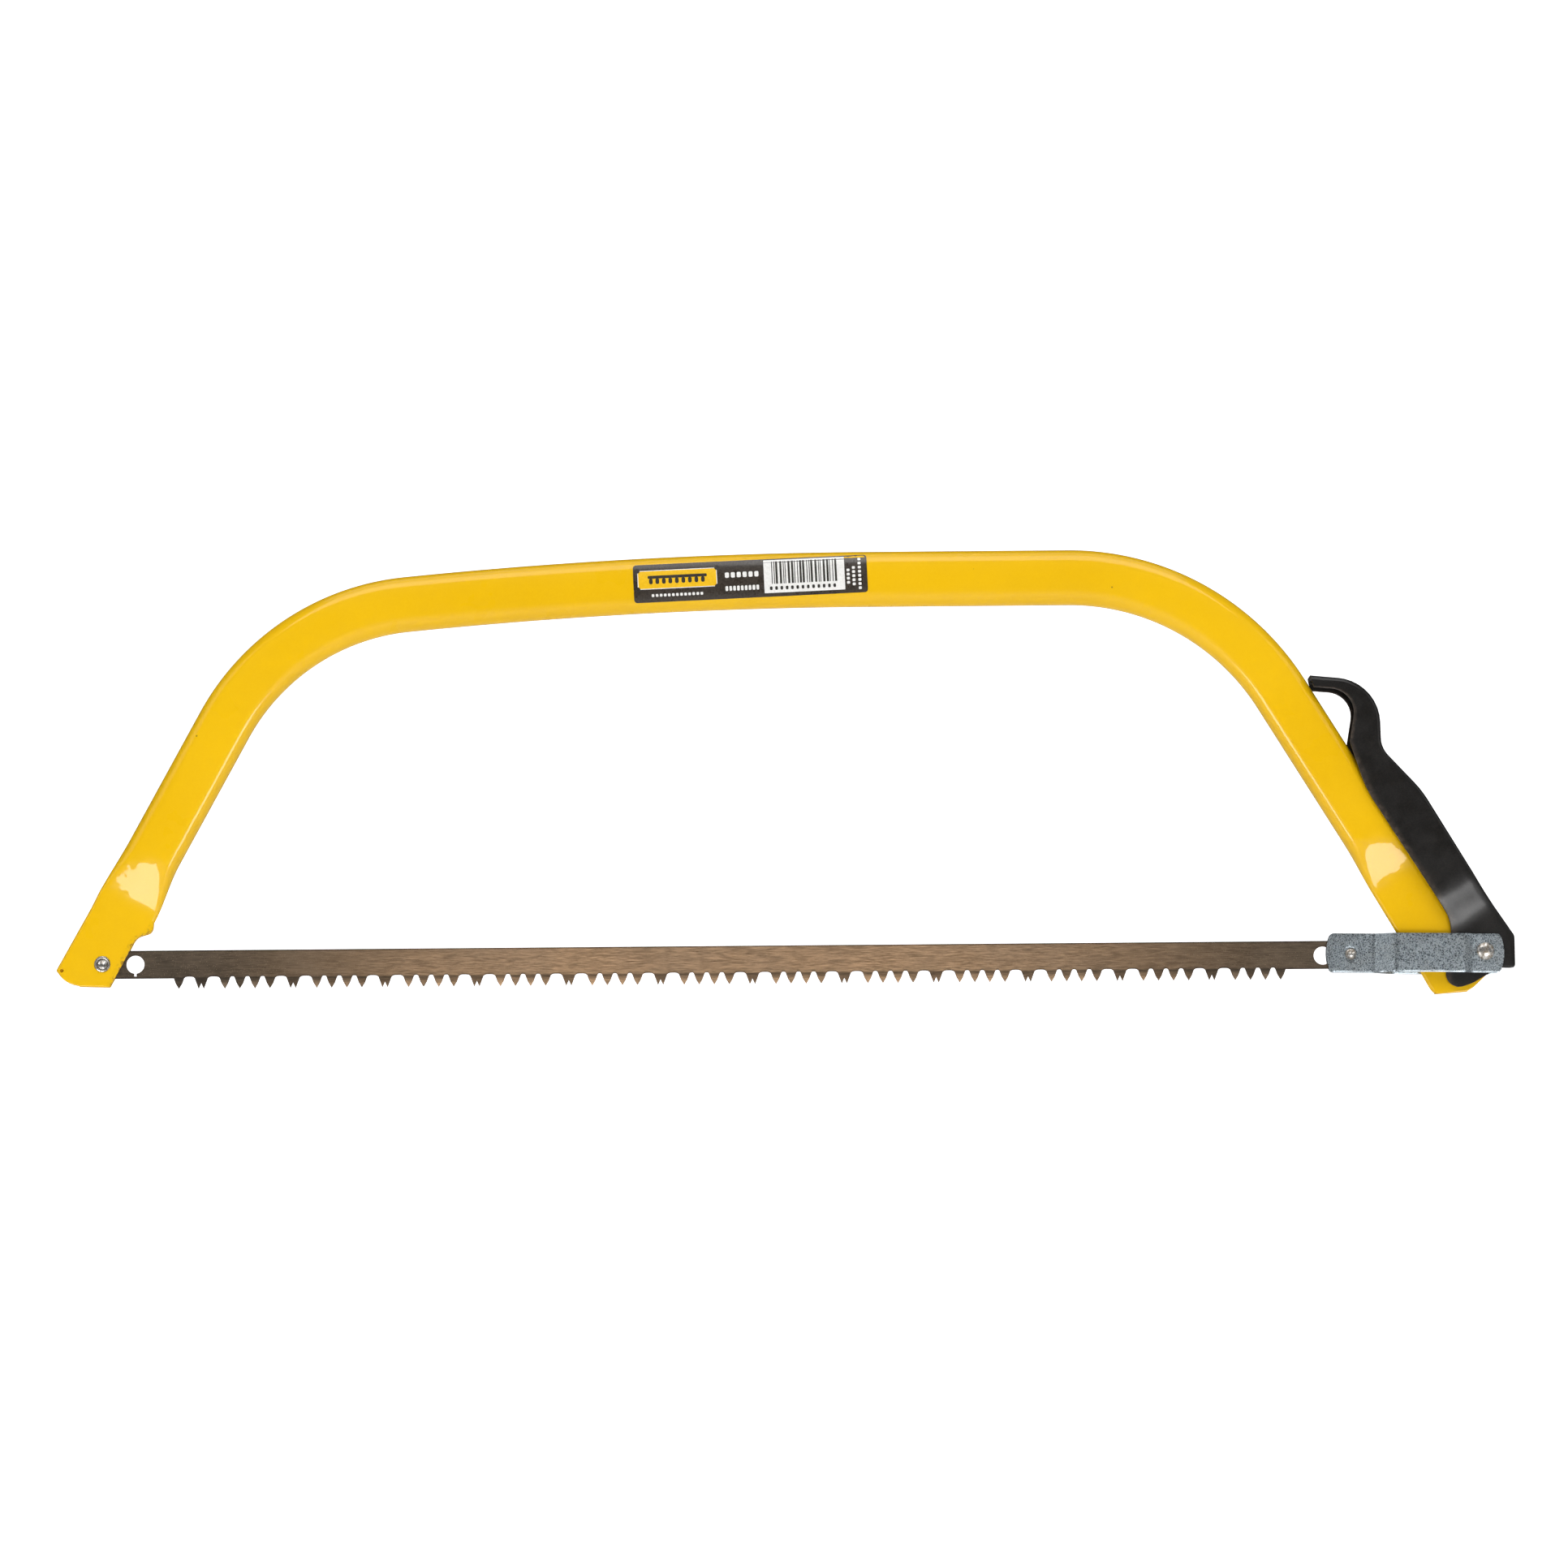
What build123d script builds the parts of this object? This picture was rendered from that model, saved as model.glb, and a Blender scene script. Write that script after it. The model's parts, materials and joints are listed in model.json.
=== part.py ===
from build123d import *
import math
import os

# A 24 inch bow saw: a bent flat-oval steel tube holds a toothed blade in tension. The blade's front end hangs
# on a rivet in the tube's flattened front end. Its rear end hangs on a pin between two link plates, which are
# riveted to a tension lever that swings over the tube's flattened rear end.
#
# Everything is drawn in a side view: x runs along the blade from the front pin to the lever, y runs from the
# blade up to the bow and z is the depth, towards the labelled side. The last step stands the saw up, so that
# y becomes +Z and the labelled side faces -Y, and moves the middle of its box to the origin.

# Pins and pivots
PIN_SPACING = 610.0
REAR_PIN = (PIN_SPACING, 0.0)
LEVER_PIVOT = (660.0, -1.2)
LINK_RIVET = (675.3, 0.4)
FRONT_PIN_RADIUS = 3.0
REAR_PIN_RADIUS = 2.9
PIVOT_RADIUS = 3.0
RIVET_RADIUS = 2.5
RUNNING_GAP = 0.05
PIN_SEAT_GAP = 0.07

# Bow tube: the centreline is measured from the level stretch of the top bar
TUBE_WIDTH = 27.4
TUBE_THICKNESS = 14.0
TUBE_EDGE_RADIUS = 6.4
TUBE_WALL = 1.4
LEVEL_START = (373.5, 187.1)
LEVEL_LENGTH = 100.9
CROWN_RADIUS = 2390.0
CROWN_TURN = 5.4
FRONT_BEND_RADIUS = 113.8
FRONT_LEAN = 28.5
FRONT_LEG_LENGTH = 71.0
REAR_BEND_RADIUS = 121.7
REAR_LEAN = 31.4
REAR_LEG_LENGTH = 79.4

# Flattened tube ends
FLAT_THICKNESS = 4.0
FLAT_SLOT = 1.5
FLAT_EDGE_RADIUS = 1.9
SLOT_EDGE_RADIUS = 0.7
FLATTENING_STAGES = 5
FLATTEN_LENGTH = 31.0
FLAT_REACH = 62.0
FRONT_FLAT_WIDTH = 31.2
FRONT_FLAT_SHIFT = 0.9
REAR_FLAT_WIDTH = 29.4
REAR_FLAT_SHIFT = 0.3
HANG_HOLE = (-19.8, -3.0)
HANG_HOLE_RADIUS = 0.9
UNTRIMMED_CENTRE = (320.0, 180.0)
UNTRIMMED_SIZE = (900.0, 240.0)

# Blade
BLADE_THICKNESS = 0.9
BLADE_TOP = 6.6
BLADE_BOTTOM = -7.1
BLADE_FRONT_END = -9.5
BLADE_REAR_END = 619.4
HOLE_RADIUS = 4.42
FRONT_HOLE = (HOLE_RADIUS - FRONT_PIN_RADIUS - PIN_SEAT_GAP, 0.0)
REAR_HOLE = (609.9, -0.55)
FRONT_SPARE_HOLE = (16.0, -0.2)
REAR_SPARE_HOLE = (596.4, -0.6)
SLIT_WIDTH = 1.2
SLIT_DEPTH = 1.9
TOOTH_TIP = -12.3
TOOTH_PITCH = 7.37
TOOTH_HALF_BASE = 2.3
GULLET_RISE = 0.8
LEAD_TOOTH_X = 37.3
FIRST_RAKER_X = 48.2
RAKER_PITCH = 44.9
RAKER_COUNT = 12
TEETH_PER_GROUP = 4
FIRST_TOOTH_OFFSET = 11.5
RAKER_HALF_BASE = 3.2
RAKER_TIP_OFFSET = 1.27
RAKER_NOTCH = 2.8

# Link plates, as depths of their inner faces from the middle plane
PLATE_THICKNESS = 1.8
PLATE_HEIGHT = 19.0
PLATE_FRONT_X = 598.1
PLATE_REAR_X = 684.4
PLATE_END_SAG = 2.0
PLATE_TILT = -0.9
PLATE_CORNER_RADIUS = 1.5
BLADE_SIDE_DEPTH = 0.75
BULGE_DEPTH = 6.6
LEVER_SIDE_DEPTH = 5.0
BULGE_START_X = 622.0
BULGE_FULL_X = 631.6
BULGE_END_X = 665.2
LEVER_SIDE_X = 668.4
PIN_SINK_RADIUS = 3.6
PIN_SINK_DEPTH = 0.7
PIN_END_DEPTH = 0.3

# Tension lever: a steel channel, wide at the handle and narrow at the pivot
LEVER_WALL = 1.4
HANDLE_HALF_WIDTH = 9.0
PIVOT_HALF_WIDTH = 4.7
LEVER_AXIS_LEAN = 32.0
NARROW_BELOW = 11.0
WIDE_ABOVE = 31.0
CHANNEL_OPENING = 5.0
WIDTH_STEP_BLEND = 3.0
FOOT_OPENING_CENTRE = (664.5, -12.0)
FOOT_OPENING_SIZE = (46.0, 14.0)
FOOT_OPENING_TILT = 20.5
WIDTH_BLOCK_FOOT = -60.0
WIDTH_BLOCK_TOP = 170.0
WIDTH_BLOCK_REACH = 120.0
HEAD_GAP = 0.1
WASHER_RADIUS = 6.5

# Label
LABEL_CENTRE = (318.1, 187.0)
LABEL_SIZE = (115.0, 18.8)
LABEL_TILT = 2.3
LABEL_THICKNESS = 0.15
LABEL_CLEARANCE = 0.01
LABEL_CORNER_RADIUS = 1.6


def oval(width, thickness, edge_radius, plane, shift=0.0):
    """A flat oval of four tangent arcs, wide along the plane's y and thin along its x."""
    half_width = width / 2
    half_thickness = thickness / 2
    edge_centre = half_width - edge_radius
    face_radius = (edge_centre**2 + half_thickness**2 - edge_radius**2) / (2 * (half_thickness - edge_radius))
    face_centre = half_thickness - face_radius
    angle = math.atan2(edge_centre, -face_centre)
    tangent_x = face_centre + face_radius * math.cos(angle)
    tangent_y = face_radius * math.sin(angle)
    corners = [
        (tangent_x, shift - tangent_y),
        (tangent_x, shift + tangent_y),
        (-tangent_x, shift + tangent_y),
        (-tangent_x, shift - tangent_y),
    ]
    middles = [
        (half_thickness, shift),
        (0, shift + half_width),
        (-half_thickness, shift),
        (0, shift - half_width),
    ]
    with BuildSketch(plane) as sketch:
        with BuildLine():
            for i, middle in enumerate(middles):
                ThreePointArc(corners[i], middle, corners[(i + 1) % 4])
        make_face()
    return sketch.sketch.face()


def prism(face, depth):
    """A face of the side view, extruded to the same depth on both sides."""
    return extrude(face, amount=depth, both=True)


def rounded_face(points, radii):
    """A closed outline of straight runs whose corners are rounded by the given radii."""
    with BuildSketch() as sketch:
        with BuildLine():
            FilletPolyline(*points, radius=radii, close=True)
        make_face()
    return sketch.sketch


def rod(centre, radius, low, high):
    """A round bar across the saw, from one depth to another."""
    return Pos(centre[0], centre[1], low) * Cylinder(
        radius, high - low, align=(Align.CENTER, Align.CENTER, Align.MIN)
    )


def turned(centre, profile):
    """A solid of revolution about a cross axis, from (radius, depth) points."""
    with BuildSketch(Plane.XZ) as sketch:
        with BuildLine():
            Polyline(*profile, close=True)
        make_face()
    return Pos(centre[0], centre[1], 0) * revolve(sketch.sketch, Axis.Z)


def bow_path():
    """The centreline of the bow tube between its two flattened ends."""
    level_end = (LEVEL_START[0] + LEVEL_LENGTH, LEVEL_START[1])
    with BuildLine() as path:
        crown = JernArc(LEVEL_START, (-1, 0), CROWN_RADIUS, CROWN_TURN)
        bend = JernArc(crown @ 1, crown % 1, FRONT_BEND_RADIUS, 90 - FRONT_LEAN - CROWN_TURN)
        Line(bend @ 1, bend @ 1 + (bend % 1) * FRONT_LEG_LENGTH)
        Line(LEVEL_START, level_end)
        rear_bend = JernArc(level_end, (1, 0), REAR_BEND_RADIUS, REAR_LEAN - 90)
        Line(rear_bend @ 1, rear_bend @ 1 + (rear_bend % 1) * REAR_LEG_LENGTH)
    return path.wires()[0]


def end_plane(path, at_rear):
    """A plane across the tube's end, looking out of it. Its x is the depth and its y points into the bow."""
    starts_at_rear = (path @ 0).X > (path @ 1).X
    place = 0 if at_rear == starts_at_rear else 1
    outward = path % place if place else -(path % place)
    depth = Vector(0, 0, 1) if at_rear else Vector(0, 0, -1)
    return Plane(origin=path @ place, x_dir=depth, z_dir=outward)


def flattened_end(plane, width, shift, inset):
    """The stretch that is pressed flat, and the flat beyond it. The inset is the wall, or 0 outside."""
    flat_thickness = FLAT_SLOT if inset else FLAT_THICKNESS
    flat_edge = SLOT_EDGE_RADIUS if inset else FLAT_EDGE_RADIUS
    sections = []
    for i in range(FLATTENING_STAGES + 1):
        share = i / FLATTENING_STAGES
        ease = share * share * (3 - 2 * share)
        section_plane = Plane(
            origin=plane.origin + plane.z_dir * (FLATTEN_LENGTH * share), x_dir=plane.x_dir, z_dir=plane.z_dir
        )
        round_thickness = TUBE_THICKNESS - 2 * inset
        sections.append(
            oval(
                (TUBE_WIDTH + (width - TUBE_WIDTH) * ease) - 2 * inset,
                round_thickness + (flat_thickness - round_thickness) * ease,
                (TUBE_EDGE_RADIUS - inset) + (flat_edge - (TUBE_EDGE_RADIUS - inset)) * ease,
                section_plane,
                shift * ease,
            )
        )
    return loft(sections) + extrude(sections[-1], amount=FLAT_REACH, dir=plane.z_dir)


def bow_solid(path, inset):
    """The whole bow, outside with no inset or inside with the wall as the inset."""
    start = Plane(origin=path @ 0, x_dir=(0, 0, 1), z_dir=path % 0)
    section = oval(TUBE_WIDTH - 2 * inset, TUBE_THICKNESS - 2 * inset, TUBE_EDGE_RADIUS - inset, start)
    bow = sweep(section, path=path)
    bow += flattened_end(end_plane(path, False), FRONT_FLAT_WIDTH, FRONT_FLAT_SHIFT, inset)
    bow += flattened_end(end_plane(path, True), REAR_FLAT_WIDTH, REAR_FLAT_SHIFT, inset)
    return bow


def front_end_trim():
    """What the front end is cut back to: a chamfered tip, and a notch where the blade leaves the tube."""
    points = [
        (-90, 80),
        (-22.8, -2.6),
        (-17.2, -10.4),
        (3.7, -11.5),
        (17.0, 13.5),
        (23.6, 15.3),
        (29.5, 29.0),
        (60, 80),
    ]
    return rounded_face(points, [0.1, 1.0, 4.0, 0.6, 5.0, 3.0, 1.0, 0.1])


def rear_end_trim():
    """What the rear end is cut back to: a toe below the blade and a chamfered outer corner."""
    points = [(560, 60), (560, 0), (650.0, -20.1), (668.3, -18.6), (679.3, -7.8), (740, 60)]
    return rounded_face(points, [0.1, 0.1, 1.5, 4.0, 2.0, 0.1])


def make_frame_tube(path):
    trim = front_end_trim() + rear_end_trim() + Pos(*UNTRIMMED_CENTRE) * Rectangle(*UNTRIMMED_SIZE)
    tube = bow_solid(path, 0) & prism(trim, TUBE_THICKNESS)
    tube -= bow_solid(path, TUBE_WALL)
    tube -= rod((0, 0), FRONT_PIN_RADIUS, -FLAT_THICKNESS, FLAT_THICKNESS)
    tube -= rod(LEVER_PIVOT, PIVOT_RADIUS, -FLAT_THICKNESS, FLAT_THICKNESS)
    tube -= rod(HANG_HOLE, HANG_HOLE_RADIUS, -FLAT_THICKNESS, FLAT_THICKNESS)
    return tube


def make_front_pin():
    """A semi-tubular rivet: a low domed head on the far side and a rolled rim on the near side."""
    face = FLAT_THICKNESS / 2
    profile = [
        (0, -face - 1.3),
        (2.6, -face - 1.1),
        (4.3, -face - 0.5),
        (4.6, -face),
        (FRONT_PIN_RADIUS, -face),
        (FRONT_PIN_RADIUS, face),
        (4.0, face),
        (4.0, face + 0.3),
        (3.6, face + 0.75),
        (3.0, face + 0.75),
        (2.5, face + 0.2),
        (2.3, face - 2.2),
        (0, face - 2.6),
    ]
    return turned((0, 0), profile)


def tooth_positions():
    """Every tooth and raker along the blade, as (x, is_raker), from front to rear."""
    places = [(LEAD_TOOTH_X, False)]
    for group in range(RAKER_COUNT):
        raker_x = FIRST_RAKER_X + group * RAKER_PITCH
        places.append((raker_x, True))
        for tooth in range(TEETH_PER_GROUP):
            places.append((raker_x + FIRST_TOOTH_OFFSET + tooth * TOOTH_PITCH, False))
    return places


def make_blade():
    """A flat strip with rounded ends, peg teeth in groups of four and a two-pointed raker between groups."""
    places = tooth_positions()
    half_height = (BLADE_TOP - BLADE_BOTTOM) / 2
    middle = (BLADE_TOP + BLADE_BOTTOM) / 2
    with BuildSketch() as sketch:
        with BuildLine():
            left = BLADE_FRONT_END + half_height
            right = BLADE_REAR_END - half_height
            ThreePointArc((left, BLADE_BOTTOM), (BLADE_FRONT_END, middle), (left, BLADE_TOP))
            Line((left, BLADE_TOP), (right, BLADE_TOP))
            ThreePointArc((right, BLADE_TOP), (BLADE_REAR_END, middle), (right, BLADE_BOTTOM))
            start = (left, BLADE_BOTTOM)
            for i, (x, is_raker) in enumerate(places):
                half = RAKER_HALF_BASE if is_raker else TOOTH_HALF_BASE
                base = (x - half, BLADE_BOTTOM)
                if i == 0:
                    Line(start, base)
                else:
                    ThreePointArc(start, ((start[0] + base[0]) / 2, BLADE_BOTTOM + GULLET_RISE), base)
                end = (x + half, BLADE_BOTTOM)
                if is_raker:
                    notch = (x, TOOTH_TIP + RAKER_NOTCH)
                    tips = [(x - RAKER_TIP_OFFSET, TOOTH_TIP), notch, (x + RAKER_TIP_OFFSET, TOOTH_TIP)]
                else:
                    tips = [(x, TOOTH_TIP)]
                Polyline(base, *tips, end)
                start = end
            Line(start, (right, BLADE_BOTTOM))
        make_face()
    blade = prism(sketch.sketch, BLADE_THICKNESS / 2)
    for hole in (FRONT_HOLE, REAR_HOLE, FRONT_SPARE_HOLE, REAR_SPARE_HOLE):
        blade -= rod(hole, HOLE_RADIUS, -BLADE_THICKNESS, BLADE_THICKNESS)
    slit_reach = HOLE_RADIUS + SLIT_DEPTH
    slit = Pos(FRONT_SPARE_HOLE[0], FRONT_SPARE_HOLE[1] - slit_reach / 2) * Rectangle(SLIT_WIDTH, slit_reach)
    return blade - prism(slit, BLADE_THICKNESS)


def link_plate():
    """The near link plate: a strip that bulges out over the frame's end, with holes for its pin and rivet."""
    steps = [
        (PLATE_FRONT_X, BLADE_SIDE_DEPTH),
        (BULGE_START_X, BLADE_SIDE_DEPTH),
        (BULGE_FULL_X, BULGE_DEPTH),
        (BULGE_END_X, BULGE_DEPTH),
        (LEVER_SIDE_X, LEVER_SIDE_DEPTH),
        (PLATE_REAR_X, LEVER_SIDE_DEPTH),
    ]
    top = [(x, z + PLATE_THICKNESS) for x, z in steps]
    with BuildSketch(Plane.XZ) as profile:
        with BuildLine():
            Polyline(*steps, *reversed(top), close=True)
        make_face()
    strip = extrude(profile.sketch, amount=PLATE_HEIGHT, both=True)
    half = PLATE_HEIGHT / 2
    with BuildSketch() as outline:
        with BuildLine():
            front, rear = PLATE_FRONT_X + PLATE_END_SAG, PLATE_REAR_X - PLATE_END_SAG
            Line((front, half), (rear, half))
            ThreePointArc((rear, half), (PLATE_REAR_X, 0), (rear, -half))
            Line((rear, -half), (front, -half))
            ThreePointArc((front, -half), (PLATE_FRONT_X, 0), (front, half))
        make_face()
        fillet(outline.vertices(), PLATE_CORNER_RADIUS)
    middle_x = (PLATE_FRONT_X + PLATE_REAR_X) / 2
    tilted = Pos(middle_x, 0) * Rot(0, 0, PLATE_TILT) * Pos(-middle_x, 0) * outline.sketch
    plate = strip & prism(tilted, 2 * HANDLE_HALF_WIDTH)
    plate -= rod(REAR_PIN, REAR_PIN_RADIUS, 0, HANDLE_HALF_WIDTH)
    outer = BLADE_SIDE_DEPTH + PLATE_THICKNESS
    plate -= rod(REAR_PIN, PIN_SINK_RADIUS, outer - PIN_SINK_DEPTH, HANDLE_HALF_WIDTH)
    plate -= rod(LINK_RIVET, RIVET_RADIUS + RUNNING_GAP, 0, HANDLE_HALF_WIDTH)
    return plate


def make_rear_pin():
    """The pin that carries the blade's rear end, flush in the two link plates."""
    reach = BLADE_SIDE_DEPTH + PLATE_THICKNESS - PIN_END_DEPTH
    return rod(REAR_PIN, REAR_PIN_RADIUS, -reach, reach)


def link_rivet():
    """The near rivet of lever and link plate: flush inside the lever, so that the frame's end can pass."""
    inside = PIVOT_HALF_WIDTH - LEVER_WALL
    plate_top = LEVER_SIDE_DEPTH + PLATE_THICKNESS + HEAD_GAP
    profile = [
        (0, inside),
        (RIVET_RADIUS, inside),
        (RIVET_RADIUS, plate_top),
        (4.4, plate_top),
        (4.3, plate_top + 0.7),
        (3.4, plate_top + 1.4),
        (1.9, plate_top + 1.9),
        (0, plate_top + 2.0),
    ]
    return turned(LINK_RIVET, profile)


def make_pivot_pin():
    """The lever's pivot: a rivet through both cheeks and the frame's rear end, with low heads."""
    cheek = PIVOT_HALF_WIDTH + HEAD_GAP
    head = cheek + 1.3
    profile = [
        (0, -head),
        (3.2, -head),
        (3.9, -head + 0.6),
        (3.9, -cheek),
        (PIVOT_RADIUS, -cheek),
        (PIVOT_RADIUS, cheek),
        (3.9, cheek),
        (3.9, head - 0.6),
        (3.2, head),
        (0, head),
    ]
    return turned(LEVER_PIVOT, profile)


def pivot_washer():
    """The near spacer between the frame's rear end and the lever's cheek."""
    inner, outer = FLAT_THICKNESS / 2, PIVOT_HALF_WIDTH - LEVER_WALL - HEAD_GAP
    return rod(LEVER_PIVOT, WASHER_RADIUS, inner, outer) - rod(LEVER_PIVOT, PIVOT_RADIUS, inner, outer)


def lever_outline():
    """The lever from the side: a hooked tip that rests on the tube, the handle and the rounded pivot end."""
    corners = [
        ((590.9, 135.0), 0.6),
        ((592.9, 136.9), 0.8),
        ((625.8, 133.6), 21.0),
        ((626.5, 100.6), 7.0),
        ((646.0, 79.6), 40.0),
        ((673.9, 32.6), 60.0),
        ((690.2, 8.2), 1.5),
        ((690.2, -7.2), 2.5),
        ((655.2, -20.2), 8.0),
        ((659.6, 14.6), 18.0),
        ((618.4, 80.4), 60.0),
        ((610.9, 103.6), 0.4),
        ((615.2, 129.0), 14.0),
        ((593.6, 130.9), 0.6),
    ]
    return rounded_face([point for point, radius in corners], [radius for point, radius in corners])


def lever_width(half_handle, half_pivot):
    """A block as wide as the handle above and as the pivot end below, with a sloping step between."""
    profile = [
        (WIDTH_BLOCK_FOOT, half_pivot),
        (NARROW_BELOW + WIDTH_STEP_BLEND, half_pivot),
        (WIDE_ABOVE - WIDTH_STEP_BLEND, half_handle),
        (WIDTH_BLOCK_TOP, half_handle),
    ]
    mirrored = [(s, -z) for s, z in reversed(profile)]
    lever_axis = Vector(0, 1, 0).rotate(Axis.Z, LEVER_AXIS_LEAN)
    along = Plane(origin=(*LEVER_PIVOT, 0), x_dir=lever_axis, z_dir=(0, 0, 1))
    section_plane = Plane(origin=along.origin, x_dir=along.x_dir, z_dir=along.y_dir)
    with BuildSketch(section_plane) as sketch:
        with BuildLine():
            Polyline(*profile, *mirrored, close=True)
        make_face()
    return extrude(sketch.sketch, amount=WIDTH_BLOCK_REACH, both=True)


def make_lever():
    outline = lever_outline()
    inside = offset(outline, amount=-LEVER_WALL)
    opened = inside
    towards_tube = Vector(-1, 0, 0).rotate(Axis.Z, LEVER_AXIS_LEAN)
    for step in (0.5, 1.0):
        move = towards_tube * (CHANNEL_OPENING * step)
        opened += Pos(move.X, move.Y) * inside
    opened += Pos(*FOOT_OPENING_CENTRE) * Rot(0, 0, FOOT_OPENING_TILT) * Rectangle(*FOOT_OPENING_SIZE)
    outer = prism(outline, 2 * HANDLE_HALF_WIDTH) & lever_width(HANDLE_HALF_WIDTH, PIVOT_HALF_WIDTH)
    cavity = prism(opened, 2 * HANDLE_HALF_WIDTH) & lever_width(
        HANDLE_HALF_WIDTH - LEVER_WALL, PIVOT_HALF_WIDTH - LEVER_WALL
    )
    lever = outer - cavity
    lever -= rod(LEVER_PIVOT, PIVOT_RADIUS + RUNNING_GAP, -HANDLE_HALF_WIDTH, HANDLE_HALF_WIDTH)
    return lever - rod(LINK_RIVET, RIVET_RADIUS, -HANDLE_HALF_WIDTH, HANDLE_HALF_WIDTH)


def make_label(path):
    """A thin sticker that follows the near face of the top bar."""
    start = Plane(origin=path @ 0, x_dir=(0, 0, 1), z_dir=path % 0)
    skins = []
    for rise in (LABEL_CLEARANCE, LABEL_THICKNESS):
        section = oval(TUBE_WIDTH + 2 * rise, TUBE_THICKNESS + 2 * rise, TUBE_EDGE_RADIUS + rise, start)
        skins.append(sweep(section, path=path))
    outline = Pos(*LABEL_CENTRE) * Rot(0, 0, LABEL_TILT) * RectangleRounded(*LABEL_SIZE, LABEL_CORNER_RADIUS)
    return (skins[1] - skins[0]) & extrude(outline, amount=TUBE_THICKNESS)


def other_side(shape):
    """The same piece on the far side of the saw."""
    return mirror(shape, Plane.XY)


def make_pieces():
    """Every piece of the saw in the side view's coordinates, by name."""
    path = bow_path()
    return {
        "frame_tube": make_frame_tube(path),
        "front_blade_pin": make_front_pin(),
        "label": make_label(path),
        "lever_pivot_pin": make_pivot_pin(),
        "pivot_washer_near": pivot_washer(),
        "pivot_washer_far": other_side(pivot_washer()),
        "lever": make_lever(),
        "link_rivet_near": link_rivet(),
        "link_rivet_far": other_side(link_rivet()),
        "link_plate_near": link_plate(),
        "link_plate_far": other_side(link_plate()),
        "rear_blade_pin": make_rear_pin(),
        "blade": make_blade(),
    }


def stand_up(pieces):
    """Turns the side view upright and moves the middle of the whole saw's box to the origin."""
    upright = {name: Rot(90, 0, 0) * piece for name, piece in pieces.items()}
    whole_saw = Compound(children=[Compound(piece.solids()) for piece in upright.values()])
    centre = whole_saw.bounding_box().center()
    print("the front pin lies at", -centre)
    return {name: Pos(-centre.X, -centre.Y, -centre.Z) * piece for name, piece in upright.items()}


def main():
    os.makedirs("parts", exist_ok=True)
    for name, piece in stand_up(make_pieces()).items():
        export_step(piece, f"parts/{name}.step")


main()
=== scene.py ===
import bpy
import bmesh
import json
import math
from mathutils import Matrix, Vector

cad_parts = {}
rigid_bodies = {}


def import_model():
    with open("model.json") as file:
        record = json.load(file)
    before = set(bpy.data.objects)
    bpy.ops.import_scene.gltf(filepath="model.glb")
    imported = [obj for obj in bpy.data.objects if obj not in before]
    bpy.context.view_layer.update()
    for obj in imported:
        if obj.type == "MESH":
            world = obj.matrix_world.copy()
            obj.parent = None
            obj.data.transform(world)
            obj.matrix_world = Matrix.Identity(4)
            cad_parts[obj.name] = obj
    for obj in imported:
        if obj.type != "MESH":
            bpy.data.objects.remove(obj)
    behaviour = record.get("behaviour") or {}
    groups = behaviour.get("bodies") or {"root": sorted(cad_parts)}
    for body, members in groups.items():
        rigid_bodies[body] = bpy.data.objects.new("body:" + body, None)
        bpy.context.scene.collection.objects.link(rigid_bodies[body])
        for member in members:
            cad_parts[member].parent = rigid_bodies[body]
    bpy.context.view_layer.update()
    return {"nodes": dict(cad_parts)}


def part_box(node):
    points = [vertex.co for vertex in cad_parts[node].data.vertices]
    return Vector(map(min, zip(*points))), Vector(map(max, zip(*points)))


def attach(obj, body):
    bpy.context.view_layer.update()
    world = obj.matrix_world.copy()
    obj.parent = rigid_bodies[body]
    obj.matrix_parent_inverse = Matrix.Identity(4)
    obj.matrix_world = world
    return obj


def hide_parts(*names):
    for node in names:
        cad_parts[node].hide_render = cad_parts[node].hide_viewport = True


for startup_object in list(bpy.data.objects):
    bpy.data.objects.remove(startup_object)

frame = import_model()

# A bow saw. Shapes are drawn in a side view, in millimetres: x runs along the blade from the front pin, y
# runs up to the bow and depth runs towards the labelled side. place() turns them into points of the frame.
MM = 0.001
FULL_TURN = 2 * math.pi
pin_low, pin_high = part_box("front_blade_pin")
FRONT_PIN = (pin_low + pin_high) / 2

REAR_PIN = (610.0, 0.0)
LEVER_PIVOT = (660.0, -1.2)
LINK_RIVET = (675.3, 0.4)

# Bow tube
TUBE_HALF_WIDTH = 13.67
TUBE_HALF_THICKNESS = 7.0
TUBE_EDGE_RADIUS = 6.4
LEVEL_START = (373.5, 187.1)
LEVEL_LENGTH = 100.9
CROWN = (2390.0, 5.4)
FRONT_BEND = (113.8, 56.1)
REAR_BEND = (121.7, 58.6)
FRONT_LEG_LENGTH = 71.0
REAR_LEG_LENGTH = 79.4
FLATTEN_LENGTH = 31.0
FLAT_HALF_THICKNESS = 2.0
FLAT_EDGE_RADIUS = 1.9
RIM_RADIUS = 0.4
SLOT_HALF_WIDTH = 0.75
FRONT_PIN_RADIUS = 3.0
HANG_HOLE = (-19.8, -3.0)
HANG_HOLE_RADIUS = 0.9

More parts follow.
